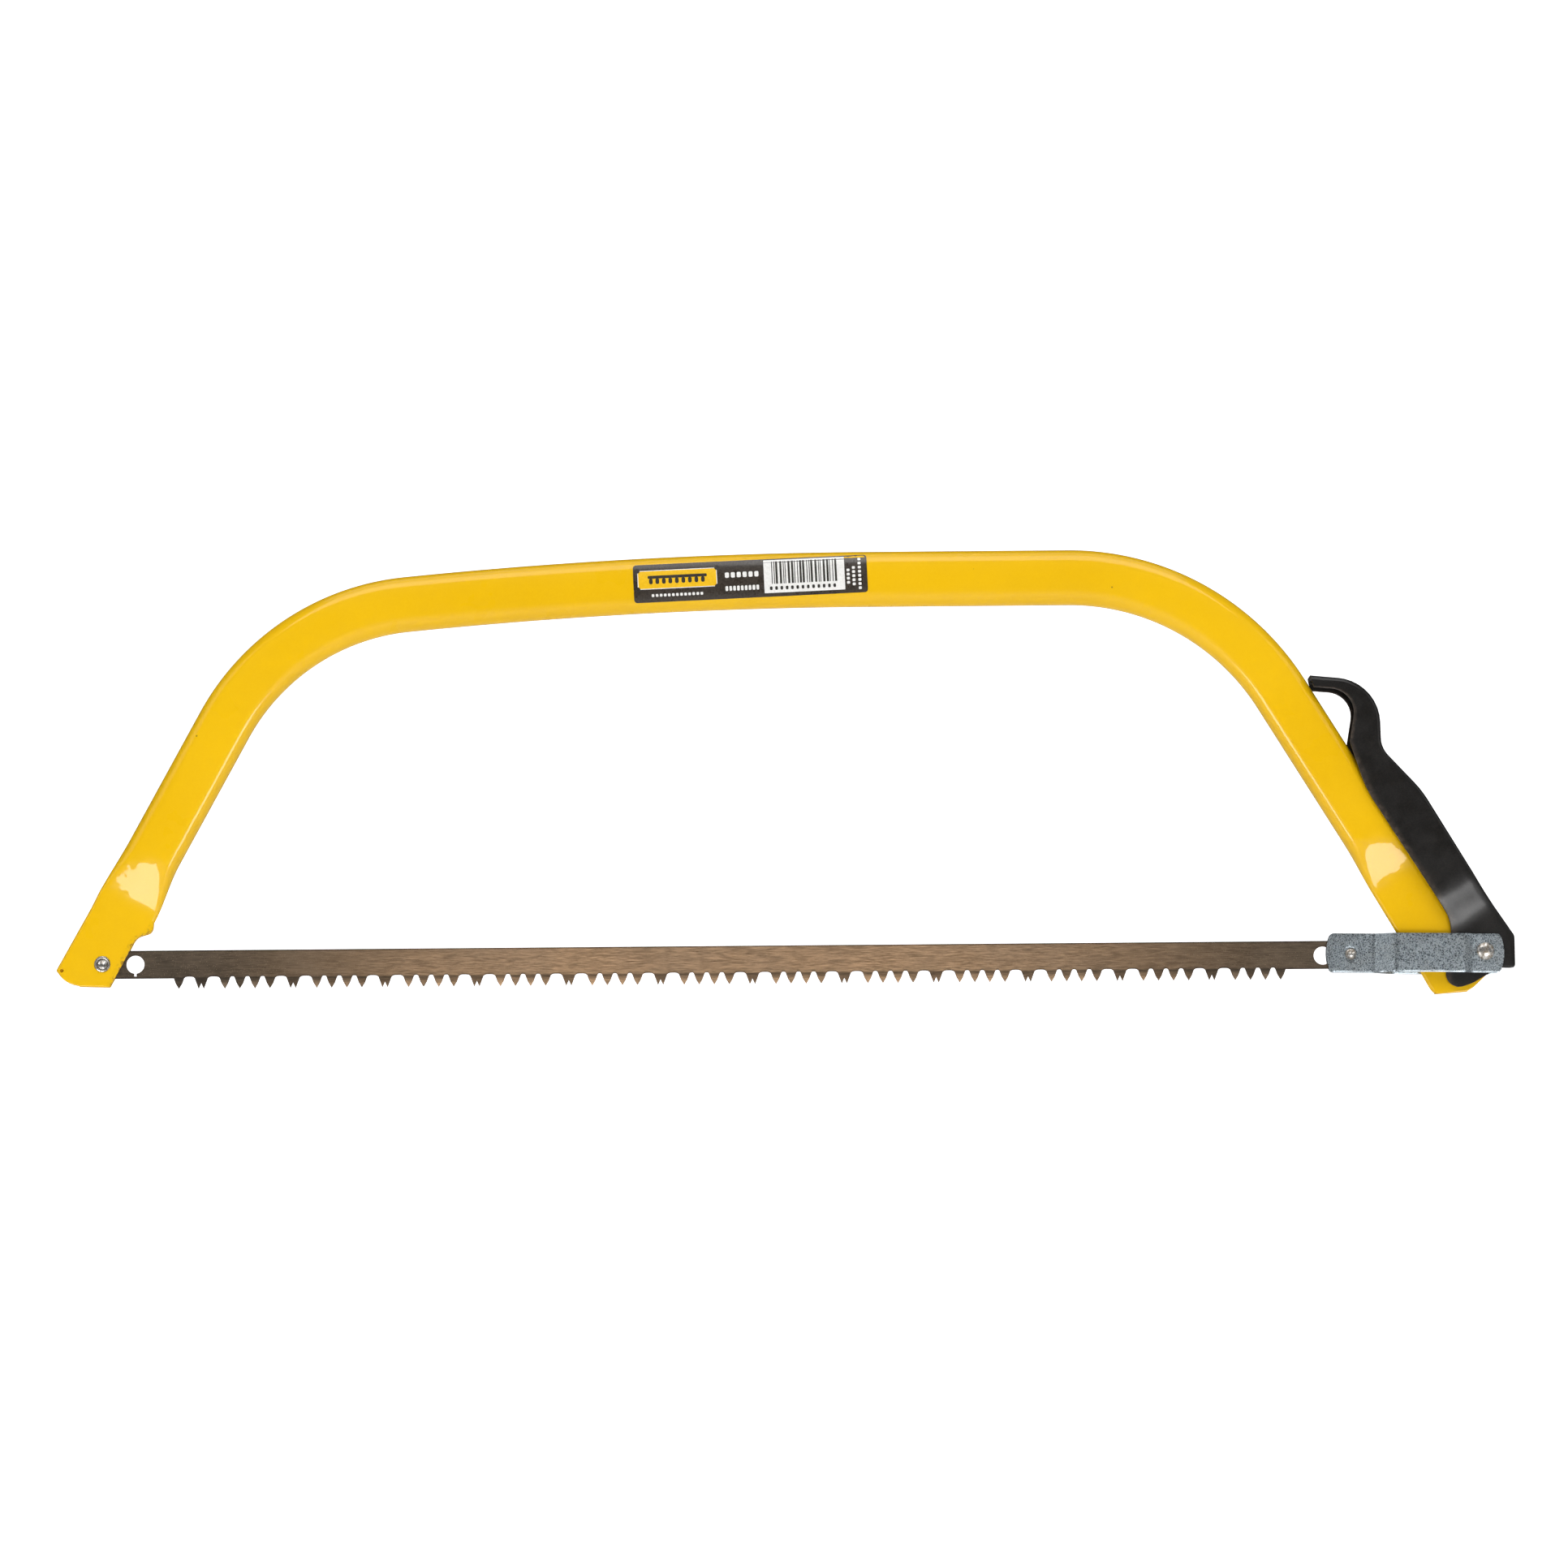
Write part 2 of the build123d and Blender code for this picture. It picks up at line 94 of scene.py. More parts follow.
# Blade
BLADE_THICKNESS = 0.9
BLADE_TOP = 6.6
BLADE_BOTTOM = -7.1
BLADE_ENDS = (-9.5, 619.4)
HOLE_RADIUS = 4.42
HOLES = [(1.35, 0.0), (16.0, -0.2), (596.4, -0.6), (609.9, -0.55)]
SLIT = [(15.4, -10.0), (16.6, -10.0), (16.6, -1.0), (15.4, -1.0)]
SLIT_END = -6.0
TOOTH_TIP = -12.3
TOOTH_PITCH = 7.37
TOOTH_HALF_BASE = 2.5
GULLET_RISE = 0.8
LEAD_TOOTH = 37.3
FIRST_RAKER = 48.2
RAKER_PITCH = 44.9
RAKER_COUNT = 12
TEETH_PER_GROUP = 4
TOOTH_AFTER_RAKER = 11.5
RAKER_HALF_BASE = 3.2
RAKER_TIP_OFFSET = 1.27
RAKER_NOTCH = 2.8
TOOTH_SET = 0.45

# Link plates
PLATE_THICKNESS = 1.8
PLATE_HALF_HEIGHT = 9.5
PLATE_ENDS = (598.1, 684.4)
PLATE_END_SAG = 2.0
PLATE_CORNER = 1.5
PLATE_TILT = -0.9
PLATE_PROFILE = [(598.1, 0.75), (622.0, 0.75), (631.6, 6.6), (665.2, 6.6), (668.4, 5.0), (684.4, 5.0)]
PLATE_BEND_REACH = [1.8, 1.8, 1.2, 1.2]
PIN_SINK = (3.6, 0.7)

# Lever
LEVER_WALL = 1.4
LEVER_CORNER = 2.4
HANDLE_HALF_WIDTH = 9.0
PIVOT_HALF_WIDTH = 4.7
LEVER_AXIS_LEAN = 32.0
NARROW_BELOW = 7.0
WIDE_ABOVE = 31.0
LEVER_ROW_STEP = 2.5
WEB_FOOT = -7.0

# Label
LABEL_CENTRE = (318.1, 187.0)
LABEL_SIZE = (115.0, 18.8)
LABEL_TILT = 2.3
LABEL_CORNER = 1.6
FILM_RISE = 0.08
PRINT_RISE = 0.13

# Camera and lights, in metres and degrees, except for the middle of the view
VIEW_CENTRE = (333.8, 86.06)
CAMERA_LENS = 135.0
CAMERA_SENSOR = 36.0
VIEW_WIDTH = 0.76925
CAMERA_ELEVATION = -6.5
CAMERA_ROLL = 0.479
FLOOR_LEVEL = -0.5
ROOM_LIGHT = 0.08


# ---------------------------------------------------------------- points and outlines


def place(x, y, depth=0.0):
    """A point of the side view, in millimetres, as a point of the frame, in metres."""
    return Vector((FRONT_PIN.x + x * MM, -depth * MM, FRONT_PIN.z + y * MM))


def ease(share):
    """A smooth step from 0 to 1, level at both ends."""
    share = min(1.0, max(0.0, share))
    return share * share * (3 - 2 * share)


def blend(a, b, share):
    """The point or number a share of the way from a to b."""
    return a + (b - a) * share


def softened(points, reaches, steps):
    """Points along straight runs with rounded inner corners, each an arc that starts its reach away."""
    points = [Vector(point) for point in points]
    result = [points[0]]
    for before, corner, after, reach in zip(points, points[1:], points[2:], reaches):
        start = corner + (before - corner).normalized() * reach
        end = corner + (after - corner).normalized() * reach
        weight = math.cos((corner - before).angle(after - corner, 0.0) / 2)
        for step in range(steps + 1):
            share = step / steps
            from_start, from_corner, from_end = (1 - share) ** 2, 2 * weight * share * (1 - share), share**2
            spot = start * from_start + corner * from_corner + end * from_end
            result.append(spot / (from_start + from_corner + from_end))
    result.append(points[-1])
    return result


def subdivided(points, longest):
    """The same points with more between them, so that no gap is longer than a given one."""
    result = [points[0]]
    for start, end in zip(points, points[1:]):
        count = max(1, math.ceil((end - start).length / longest))
        for step in range(1, count + 1):
            result.append(blend(start, end, step / count))
    return result


def circle(centre, radius, steps=48):
    """Points round a circle of the side view."""
    angles = [FULL_TURN * step / steps for step in range(steps)]
    return [(centre[0] + radius * math.cos(a), centre[1] + radius * math.sin(a)) for a in angles]


def walk(point, heading, moves):
    """Stations along arcs and straight runs, as (point, sideways). A move is length, radius, turn, steps."""
    stations = []
    point = Vector(point)
    heading = Vector(heading).normalized()
    for length, radius, turn, steps in moves:
        sideways = Vector((-heading.y, heading.x)) * math.copysign(1, turn)
        for step in range(1, steps + 1):
            if radius:
                angle = math.radians(abs(turn)) * step / steps
                ahead, aside = radius * math.sin(angle), radius * (1 - math.cos(angle))
                spot = point + heading * ahead + sideways * aside
                inward = sideways * math.cos(angle) - heading * math.sin(angle)
            else:
                spot = point + heading * (length * step / steps)
                inward = sideways
            stations.append((spot, inward))
        point, inward = stations[-1]
        heading = Vector((inward.y, -inward.x)) * math.copysign(1, turn)
    return stations


# ---------------------------------------------------------------- pieces


def write_mesh(mesh, vertices, faces, wear=None):
    """Fills a mesh, turns its faces outwards and notes how worn each point is."""
    mesh.from_pydata(vertices, [], faces)
    shape = bmesh.new()
    shape.from_mesh(mesh)
    bmesh.ops.recalc_face_normals(shape, faces=shape.faces)
    shape.to_mesh(mesh)
    shape.free()
    attribute = mesh.attributes.new("wear", "FLOAT", "POINT")
    attribute.data.foreach_set("value", wear or [0.0] * len(vertices))


def add_piece(name, shape, body, material, replaced=(), cutters=(), bevel=0.0, sharp=35.0):
    """A visible piece from (vertices, faces, wear), with holes cut by other shapes, riding on a CAD body."""
    mesh = bpy.data.meshes.new(name)
    write_mesh(mesh, *shape)
    piece = bpy.data.objects.new(name, mesh)
    bpy.context.scene.collection.objects.link(piece)
    for cutter in cutters:
        cut(piece, cutter)
    if bevel:
        modifier = piece.modifiers.new("bevel", "BEVEL")
        modifier.width = bevel * MM
        modifier.segments = 2
        modifier.angle_limit = math.radians(50)
        bake_modifiers(piece)
    piece.data.shade_smooth()
    piece.data.set_sharp_from_angle(angle=math.radians(sharp))
    piece.data.materials.append(material)
    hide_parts(*replaced)
    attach(piece, body)
    return piece


def bake_modifiers(piece):
    """Replaces a piece's mesh by what its modifiers make of it."""
    graph = bpy.context.evaluated_depsgraph_get()
    result = bpy.data.meshes.new_from_object(piece.evaluated_get(graph))
    piece.modifiers.clear()
    result.name = piece.name
    piece.data = result


def cut(piece, shape):
    """Takes a closed shape away from a piece."""
    mesh = bpy.data.meshes.new("cutter")
    write_mesh(mesh, *shape)
    cutter = bpy.data.objects.new("cutter", mesh)
    bpy.context.scene.collection.objects.link(cutter)
    modifier = piece.modifiers.new("cut", "BOOLEAN")
    modifier.object = cutter
    modifier.solver = "EXACT"
    modifier.operation = "DIFFERENCE"
    bake_modifiers(piece)
    bpy.data.objects.remove(cutter)


def prism(outline, low, high):
    """A closed outline of the side view, extruded between two depths."""
    count = len(outline)
    vertices = [place(x, y, depth) for depth in (low, high) for x, y in outline]
    walls = [(i, (i + 1) % count, count + (i + 1) % count, count + i) for i in range(count)]
    return vertices, [tuple(range(count)), tuple(range(count, 2 * count))] + walls


def rod(centre, radius, low, high):
    """A round bar across the saw."""
    return prism(circle(centre, radius), low, high)


def turned(centre, profile, steps=64):
    """A solid of revolution about a cross axis, from (radius, depth) points between two axis points."""
    vertices = [place(*centre, profile[0][1]), place(*centre, profile[-1][1])]
    rings = profile[1:-1]
    for radius, depth in rings:
        vertices += [place(x, y, depth) for x, y in circle(centre, radius, steps)]
    faces = []
    last = 2 + (len(rings) - 1) * steps
    for i in range(steps):
        j = (i + 1) % steps
        faces.append((0, 2 + i, 2 + j))
        faces.append((1, last + j, last + i))
        for ring in range(len(rings) - 1):
            row = 2 + ring * steps
            faces.append((row + i, row + j, row + steps + j, row + steps + i))
    return vertices, faces


def closed_rings(rings, wear):
    """A skin over rings of points, closed by a face at each end."""
    count = len(rings[0])
    faces = [tuple(range(count)), tuple(range((len(rings) - 1) * count, len(rings) * count))]
    for row in range(len(rings) - 1):
        for i in range(count):
            j = (i + 1) % count
            faces.append((row * count + i, row * count + j, (row + 1) * count + j, (row + 1) * count + i))
    return [point for ring in rings for point in ring], faces, wear


def shell(outer, inner, missing=lambda row, column: False, wear=None):
    """Two skins over the same grid, joined round every edge. The missing cells are left open."""
    rows, columns = len(outer), len(outer[0])
    inside = rows * columns
    cells = {(r, c) for r in range(rows - 1) for c in range(columns - 1) if not missing(r, c)}
    faces = []
    for r, c in cells:
        a, b = r * columns + c, r * columns + c + 1
        d, e = a + columns, b + columns
        faces.append((a, b, e, d))
        faces.append((inside + a, inside + d, inside + e, inside + b))
        sides = [((r, c - 1), a, d), ((r, c + 1), e, b), ((r - 1, c), b, a), ((r + 1, c), d, e)]
        for neighbour, start, end in sides:
            if neighbour not in cells:
                faces.append((start, end, inside + end, inside + start))
    faces.sort()
    used = sorted({index for face in faces for index in face})
    number = {index: place_in_list for place_in_list, index in enumerate(used)}
    points = [point for row in outer + inner for point in row]
    marks = [mark for row in wear + wear for mark in row] if wear else [0.0] * len(points)
    vertices = [points[index] for index in used]
    faces = [tuple(number[index] for index in face) for face in faces]
    return vertices, faces, [marks[index] for index in used]


# ---------------------------------------------------------------- bow tube


def tube_section(half_width, half_thickness, edge_radius, cut_outer, cut_inner):
    """Points round the tube's section as (across, depth, wear). A folded edge is round, a cut one square."""
    face_steps, edge_steps = 12, 18
    edge_centre = half_width - edge_radius
    face_radius = (edge_centre**2 + half_thickness**2 - edge_radius**2) / (2 * (half_thickness - edge_radius))
    turn = math.atan2(edge_centre, face_radius - half_thickness)
    corner = half_width - RIM_RADIUS
    rim = half_thickness - RIM_RADIUS
    points = []
    for side in (1, -1):
        for step in range(face_steps):
            share = 2 * step / face_steps - 1
            angle = turn * share
            fold = (face_radius * math.sin(angle), half_thickness - face_radius * (1 - math.cos(angle)))
            square = (corner * share, half_thickness)
            squareness = cut_inner if share * side > 0 else cut_outer
            across = blend(fold[0], square[0], squareness) * side
            depth = blend(fold[1], square[1], squareness) * side
            points.append((across, depth, 0.0))
        squareness = cut_inner if side > 0 else cut_outer
        for step in range(edge_steps):
            share = step / edge_steps
            angle = blend(turn, math.pi - turn, share)
            fold = (edge_centre + edge_radius * math.sin(angle), edge_radius * math.cos(angle))
            if share < 1 / 3:
                angle = share * 3 * math.pi / 2
                square = (corner + RIM_RADIUS * math.sin(angle), rim + RIM_RADIUS * math.cos(angle))
            elif share > 2 / 3:
                angle = (share * 3 - 1) * math.pi / 2
                square = (corner + RIM_RADIUS * math.sin(angle), -rim + RIM_RADIUS * math.cos(angle))
            else:
                square = (half_width, rim * (3 - 6 * share))
            across = blend(fold[0], square[0], squareness) * side
            depth = blend(fold[1], square[1], squareness) * side
            points.append((across, depth, squareness))
    return points


def tube_row(outer, inner, half_thickness, edge_radius, cut_outer=0.0, cut_inner=0.0):
    """One ring of the tube between its outer edge and its bow-side edge, with the wear of each point."""
    middle = (outer + inner) / 2
    across = (inner - outer).normalized()
    ring, wear = [], []
    half_width = (inner - outer).length / 2
    for offset, depth, worn in tube_section(half_width, half_thickness, edge_radius, cut_outer, cut_inner):
        spot = middle + across * offset
        ring.append(place(spot.x, spot.y, depth))
        wear.append(worn)
    return ring, wear


def bow_stations():
    """Middle points of the round tube, from the front to the rear, each with the direction into the bow."""
    crown_radius, crown_turn = CROWN
    front_radius, front_turn = FRONT_BEND
    rear_radius, rear_turn = REAR_BEND
    to_front = [(0, crown_radius, crown_turn, 70), (0, front_radius, front_turn, 60)]
    to_front.append((FRONT_LEG_LENGTH, 0, 1, 24))
    to_rear = [(LEVEL_LENGTH, 0, -1, 30), (0, rear_radius, -rear_turn, 64)]
    to_rear.append((REAR_LEG_LENGTH, 0, -1, 26))
    front = walk(LEVEL_START, (-1, 0), to_front)
    return front[::-1] + [(Vector(LEVEL_START), Vector((0, -1)))] + walk(LEVEL_START, (1, 0), to_rear)


def flattening_rows(station, outward, half_width, shift):
    """Rows from the round tube down to the flat, as tube_row's values."""
    middle, inward = station
    steps = 22
    rows = []
    for step in range(1, steps + 1):
        share = ease(step / steps)
        centre = middle + outward * (FLATTEN_LENGTH * step / steps) + inward * (shift * share)
        reach = blend(TUBE_HALF_WIDTH, half_width, share)
        half_thickness = blend(TUBE_HALF_THICKNESS, FLAT_HALF_THICKNESS, share)
        edge_radius = blend(TUBE_EDGE_RADIUS, FLAT_EDGE_RADIUS, share)
        rows.append((centre - inward * reach, centre + inward * reach, half_thickness, edge_radius, 0, 0))
    return rows


def flat_rows(outer_keys, inner_keys, outer_reaches, inner_reaches, outer_cuts, inner_cuts):
    """Rows of the flat end between two matched outlines, down to its cut bottom edge."""
    steps = 5
    outer = softened(outer_keys, outer_reaches, steps)
    inner = softened(inner_keys, inner_reaches, steps)
    outer_cut = softened([(0, value) for value in outer_cuts], [0] * (len(outer_cuts) - 2), steps)
    inner_cut = softened([(0, value) for value in inner_cuts], [0] * (len(inner_cuts) - 2), steps)
    rows = []
    for start, end, first_cut, second_cut in zip(outer, inner, outer_cut, inner_cut):
        rows.append((start, end, FLAT_HALF_THICKNESS, FLAT_EDGE_RADIUS, first_cut.y, second_cut.y))
    start, end = rows[-1][:2]
    along = (end - start).normalized()
    down = Vector((along.y, -along.x))
    if down.dot(start - rows[-2][0]) < 0:
        down = -down
    for sink, narrowing in ((0.15, 0.05), (0.28, 0.15), (RIM_RADIUS, RIM_RADIUS)):
        half_thickness = FLAT_HALF_THICKNESS - narrowing
        lower_start = start + down * sink + along * narrowing
        lower_end = end + down * sink - along * narrowing
        rows.append((lower_start, lower_end, half_thickness, RIM_RADIUS, 1, 1))
    return rows


def front_end_rows():
    outer = [(-2.1, 34.85), (-6.3, 26.8), (-10.1, 20.0), (-22.8, -2.9), (-17.6, -9.3), (-11.5, -10.4)]
    inner = [(25.3, 20.0), (24.3, 14.9), (16.8, 13.2), (7.4, -4.6), (4.4, -9.9), (3.85, -10.9)]
    outer_reach, inner_reach = [2.2, 3.0, 0.8, 4.5], [2.6, 3.0, 0.8, 0.8]
    return flat_rows(outer, inner, outer_reach, inner_reach, [0, 0, 0, 0.2, 1, 1], [0, 0.8, 1, 1, 1, 1])


def rear_end_rows():
    outer = [(648.5, 43.2), (677.6, -5.0), (679.2, -8.0), (669.5, -17.0), (667.0, -18.4)]
    inner = [(623.2, 28.3), (643.5, -8.3), (648.4, -17.2), (650.0, -19.2), (650.6, -19.6)]
    reach = [2.0, 0.8, 1.0]
    return flat_rows(outer, inner, reach, reach, [0, 0, 0.3, 1, 1], [0, 0, 0, 0.2, 1])


def frame_tube_shape():
    stations = bow_stations()
    round_rows = []
    for middle, inward in stations:
        reach = inward * TUBE_HALF_WIDTH
        round_rows.append((middle - reach, middle + reach, TUBE_HALF_THICKNESS, TUBE_EDGE_RADIUS, 0, 0))
    front, rear = stations[0], stations[-1]
    front_outward = Vector((front[1].y, -front[1].x))
    rear_outward = Vector((-rear[1].y, rear[1].x))
    front_rows = flattening_rows(front, front_outward, 15.6, 0.9) + front_end_rows()[1:]
    rear_rows = flattening_rows(rear, rear_outward, 14.7, 0.3) + rear_end_rows()[1:]
    rings, wear = [], []
    for row in front_rows[::-1] + round_rows + rear_rows:
        ring, marks = tube_row(*row)
        rings.append(ring)
        wear += marks
    return closed_rings(rings, wear)


def frame_tube_cutters():
    """The slots that the blade and the lever's pivot lie in, and the holes through the flat ends."""
    front_slot = [(2.8, 35.0), (-20.4, -3.8), (-32, -10), (-20, -25)]
    front_slot += [(20, -25), (40, 8), (24.4, 18.6), (29, 34)]
    rear_slot = [(647.5, 38.0), (676.0, -7.0), (690, -12), (668, -32)]
    rear_slot += [(650, -32), (651.0, -16.0), (627.6, 29)]
    reach = 3 * FLAT_HALF_THICKNESS
    return [
        prism(front_slot, -SLOT_HALF_WIDTH, SLOT_HALF_WIDTH),
        prism(rear_slot, -SLOT_HALF_WIDTH, SLOT_HALF_WIDTH),
        rod((0, 0), FRONT_PIN_RADIUS, -reach, reach),
        rod(HANG_HOLE, HANG_HOLE_RADIUS, SLOT_HALF_WIDTH / 2, reach),
        rod(LEVER_PIVOT, 3.0, -reach, reach),
    ]


# ---------------------------------------------------------------- blade and pins


def plate(points, faces, depths, thickness, wear):
    """A sheet from a flat layout: both skins, each point at its own depth, and walls round the open edges."""
    count = len(points)
    vertices = []
    for side in (0.5, -0.5):
        vertices += [place(x, y, depth + side * thickness) for (x, y), depth in zip(points, depths)]
    edges = {}
    for face in faces:
        for start, end in zip(face, face[1:] + face[:1]):
            edges.setdefault(frozenset((start, end)), []).append((start, end))
    skins = list(faces) + [tuple(count + index for index in face[::-1]) for face in faces]
    walls = [(b, a, count + a, count + b) for ((a, b), *others) in edges.values() if not others]
    return vertices, skins + walls, wear + wear


def tooth_places():
    """Every tooth and raker along the blade, as (x, is_raker), from front to rear."""
    places = [(LEAD_TOOTH, False)]
    for group in range(RAKER_COUNT):
        raker = FIRST_RAKER + group * RAKER_PITCH
        places.append((raker, True))
        places += [(raker + TOOTH_AFTER_RAKER + i * TOOTH_PITCH, False) for i in range(TEETH_PER_GROUP)]
    return places


def blade_edges():
    """Matching points along the blade's top and bottom edges, and where each tooth stands among them."""
    radius = (BLADE_TOP - BLADE_BOTTOM) / 2
    middle = (BLADE_TOP + BLADE_BOTTOM) / 2
    front, rear = BLADE_ENDS[0] + radius, BLADE_ENDS[1] - radius
    arc = [math.pi / 2 * step / 12 for step in range(1, 12)]
    top = [(front - radius * math.cos(a), middle + radius * math.sin(a)) for a in arc]
    bottom = [(x, 2 * middle - y) for x, y in top]
    teeth = []
    previous = front
    bottom.append((front, BLADE_BOTTOM))
    for number, (x, is_raker) in enumerate(tooth_places()):
        half = RAKER_HALF_BASE if is_raker else TOOTH_HALF_BASE
        rise = GULLET_RISE if number else 0.0
        start, end = previous, x - half
        if not number:
            bottom += [(blend(start, end, step / 8), BLADE_BOTTOM) for step in range(1, 8)]
        else:
            for step in range(1, 8):
                share = step / 8
                bottom.append((blend(start, end, share), BLADE_BOTTOM + rise * (1 - (2 * share - 1) ** 4)))
        bottom.append((end, BLADE_BOTTOM))
        teeth.append((len(bottom) - 1, x, is_raker))
        previous = x + half
        bottom.append((previous, BLADE_BOTTOM))
    bottom += [(blend(previous, rear, step / 6), BLADE_BOTTOM) for step in range(1, 7)]
    top += [(x, BLADE_TOP) for x, y in bottom[len(top):]]
    rear_arc = [(rear + radius * math.sin(a), middle + radius * math.cos(a)) for a in arc]
    top += rear_arc
    bottom += [(x, 2 * middle - y) for x, y in rear_arc]
    return top, bottom, teeth


def blade_shape():
    """The blade: a strip with a dark margin along both edges, set peg teeth and straight rakers."""
    top, bottom, teeth = blade_edges()
    margin = 0.07
    points, wear = [], []
    for share, worn in ((0.0, 1.0), (margin, 0.0), (1 - margin, 0.0), (1.0, 0.8)):
        points += [(upper[0], blend(upper[1], lower[1], share)) for upper, lower in zip(top, bottom)]
        wear += [worn] * len(top)
    count = len(top)
    faces = []
    for row in range(3):
        for i in range(count - 1):
            a = row * count + i
            faces.append((a, a + 1, a + 1 + count, a + count))
    middle = (BLADE_TOP + BLADE_BOTTOM) / 2
    for x, start in ((BLADE_ENDS[0], 0), (BLADE_ENDS[1], count - 1)):
        tip = len(points)
        points.append((x, middle))
        wear.append(1.0)
        for row in range(3):
            faces.append((tip, row * count + start, (row + 1) * count + start))
    depths = [0.0] * len(points)
    side = 1
    for column, x, is_raker in teeth:
        left, right = 3 * count + column, 3 * count + column + 1
        first = len(points)
        if is_raker:
            tips = [(x + shift, TOOTH_TIP) for shift in (-RAKER_TIP_OFFSET, RAKER_TIP_OFFSET)]
            points += [tips[0], (x, TOOTH_TIP + RAKER_NOTCH), tips[1]]
            depths += [0.0] * 3
            wear += [0.3, 0.6, 0.3]
            faces += [(left, first + 1, first), (left, right, first + 1), (right, first + 2, first + 1)]
            continue
        waist = TOOTH_HALF_BASE * 0.62
        bend = (BLADE_BOTTOM + TOOTH_TIP) / 2
        points += [(x - waist, bend), (x + waist, bend), (x, TOOTH_TIP)]
        depths += [0.0, 0.0, side * TOOTH_SET]
        wear += [0.0, 0.0, 0.0]
        faces += [(left, right, first + 1, first), (first, first + 1, first + 2)]
        side = -side
    return plate(points, faces, depths, BLADE_THICKNESS, wear)


def blade_cutters():
    reach = BLADE_THICKNESS
    slit = [(x, max(y, SLIT_END)) for x, y in SLIT]
    return [rod(hole, HOLE_RADIUS, -reach, reach) for hole in HOLES] + [prism(slit, -reach, reach)]


def front_pin_shape():
    """A semi-tubular rivet: a low dome on the far side, a rolled rim round a hollow on the near side."""
    near = FLAT_HALF_THICKNESS
    dome = [(0, -near - 1.3), (2.6, -near - 1.15), (4.2, -near - 0.55), (4.6, -near)]
    shank = [(FRONT_PIN_RADIUS - 0.02, -near), (FRONT_PIN_RADIUS - 0.02, near)]
    rim = [(3.95, near), (3.98, near + 0.28), (3.75, near + 0.6), (3.3, near + 0.75), (2.85, near + 0.62)]
    hollow = [(2.55, near + 0.2), (2.4, near - 0.6), (2.3, near - 2.0), (1.6, near - 2.4), (0, near - 2.5)]
    return turned((0, 0), dome + shank + rim + hollow)


def rear_pin_shape():
    """The flush pin between the link plates, with a punched dimple in each end."""
    end = 2.25
    near_end = [(0, end - 0.75), (0.9, end - 0.62), (1.5, end - 0.2)]
    near_end += [(1.85, end), (2.6, end - 0.05), (2.88, end - 0.3)]
    far_end = [(radius, -depth) for radius, depth in near_end]
    return turned(REAR_PIN, far_end + near_end[::-1])


def link_rivet_shape(side):
    """A domed rivet that holds one link plate to the lever."""
    low = PIVOT_HALF_WIDTH - LEVER_WALL + 0.02
    seat = 6.9
    dome = []
    for step in range(1, 10):
        angle = math.pi / 2 * step / 9
        dome.append((4.38 * math.cos(angle) if step < 9 else 0.0, seat + 0.25 + 1.7 * math.sin(angle)))
    shank = [(0, low), (2.48, low), (2.48, seat), (4.25, seat), (4.38, seat + 0.15), (4.38, seat + 0.25)]
    return turned(LINK_RIVET, [(radius, side * depth) for radius, depth in shank + dome])


def tilted(x, y):
    """A point of the link plates, turned by their tilt."""
    middle = (PLATE_ENDS[0] + PLATE_ENDS[1]) / 2
    angle = math.radians(PLATE_TILT)
    across = x - middle
    turned_y = across * math.sin(angle) + y * math.cos(angle)
    return middle + across * math.cos(angle) - y * math.sin(angle), turned_y


def link_plate_shape(side):
    """A strip bent outwards over the frame's end, with bowed ends and rounded corners."""
    profile = subdivided(softened(PLATE_PROFILE, PLATE_BEND_REACH, 6), 3.0)
    ends = [0.0, 0.1, 0.3, 0.6, 1.0, 1.5, 2.2]
    front, rear = profile[0], profile[-1]
    profile = [spot for spot in profile if front.x + 2.5 < spot.x < rear.x - 2.5]
    profile = [Vector((front.x + d, front.y)) for d in ends] + profile
    profile += [Vector((rear.x - d, rear.y)) for d in ends[::-1]]
    columns = 16
    outer, inner = [], []
    for i, spot in enumerate(profile):
        before, after = profile[max(0, i - 1)], profile[min(len(profile) - 1, i + 1)]
        along = (after - before).normalized()
        normal = Vector((-along.y, along.x))
        from_front, from_rear = spot.x - PLATE_ENDS[0], PLATE_ENDS[1] - spot.x
        nearest = min(from_front, from_rear)
        half = PLATE_HALF_HEIGHT
        if nearest < PLATE_CORNER:
            half -= PLATE_CORNER - math.sqrt(max(0.0, PLATE_CORNER**2 - (PLATE_CORNER - nearest) ** 2))
        sag = PLATE_END_SAG * (1 - ease(nearest / 9.0)) * (1 if from_front < from_rear else -1)
        outer_row, inner_row = [], []
        for column in range(columns + 1):
            across = half * (2 * column / columns - 1)
            shift = sag * (across / PLATE_HALF_HEIGHT) ** 2
            for row, rise in ((inner_row, 0.0), (outer_row, PLATE_THICKNESS)):
                lifted = spot + normal * rise
                x, y = tilted(lifted.x + shift, across)
                row.append(place(x, y, side * lifted.y))
        outer.append(outer_row)
        inner.append(inner_row)
    return shell(outer, inner)


def link_plate_cutters(side):
    sink_radius, sink_depth = PIN_SINK
    outer = PLATE_PROFILE[0][1] + PLATE_THICKNESS
    through = rod(REAR_PIN, 2.9, side * 0.1, side * (outer + 3))
    sink = rod(REAR_PIN, sink_radius, side * (outer - sink_depth), side * (outer + 3))
    return [through, sink, rod(LINK_RIVET, 2.5, side * 4, side * 8)]


# ---------------------------------------------------------------- lever


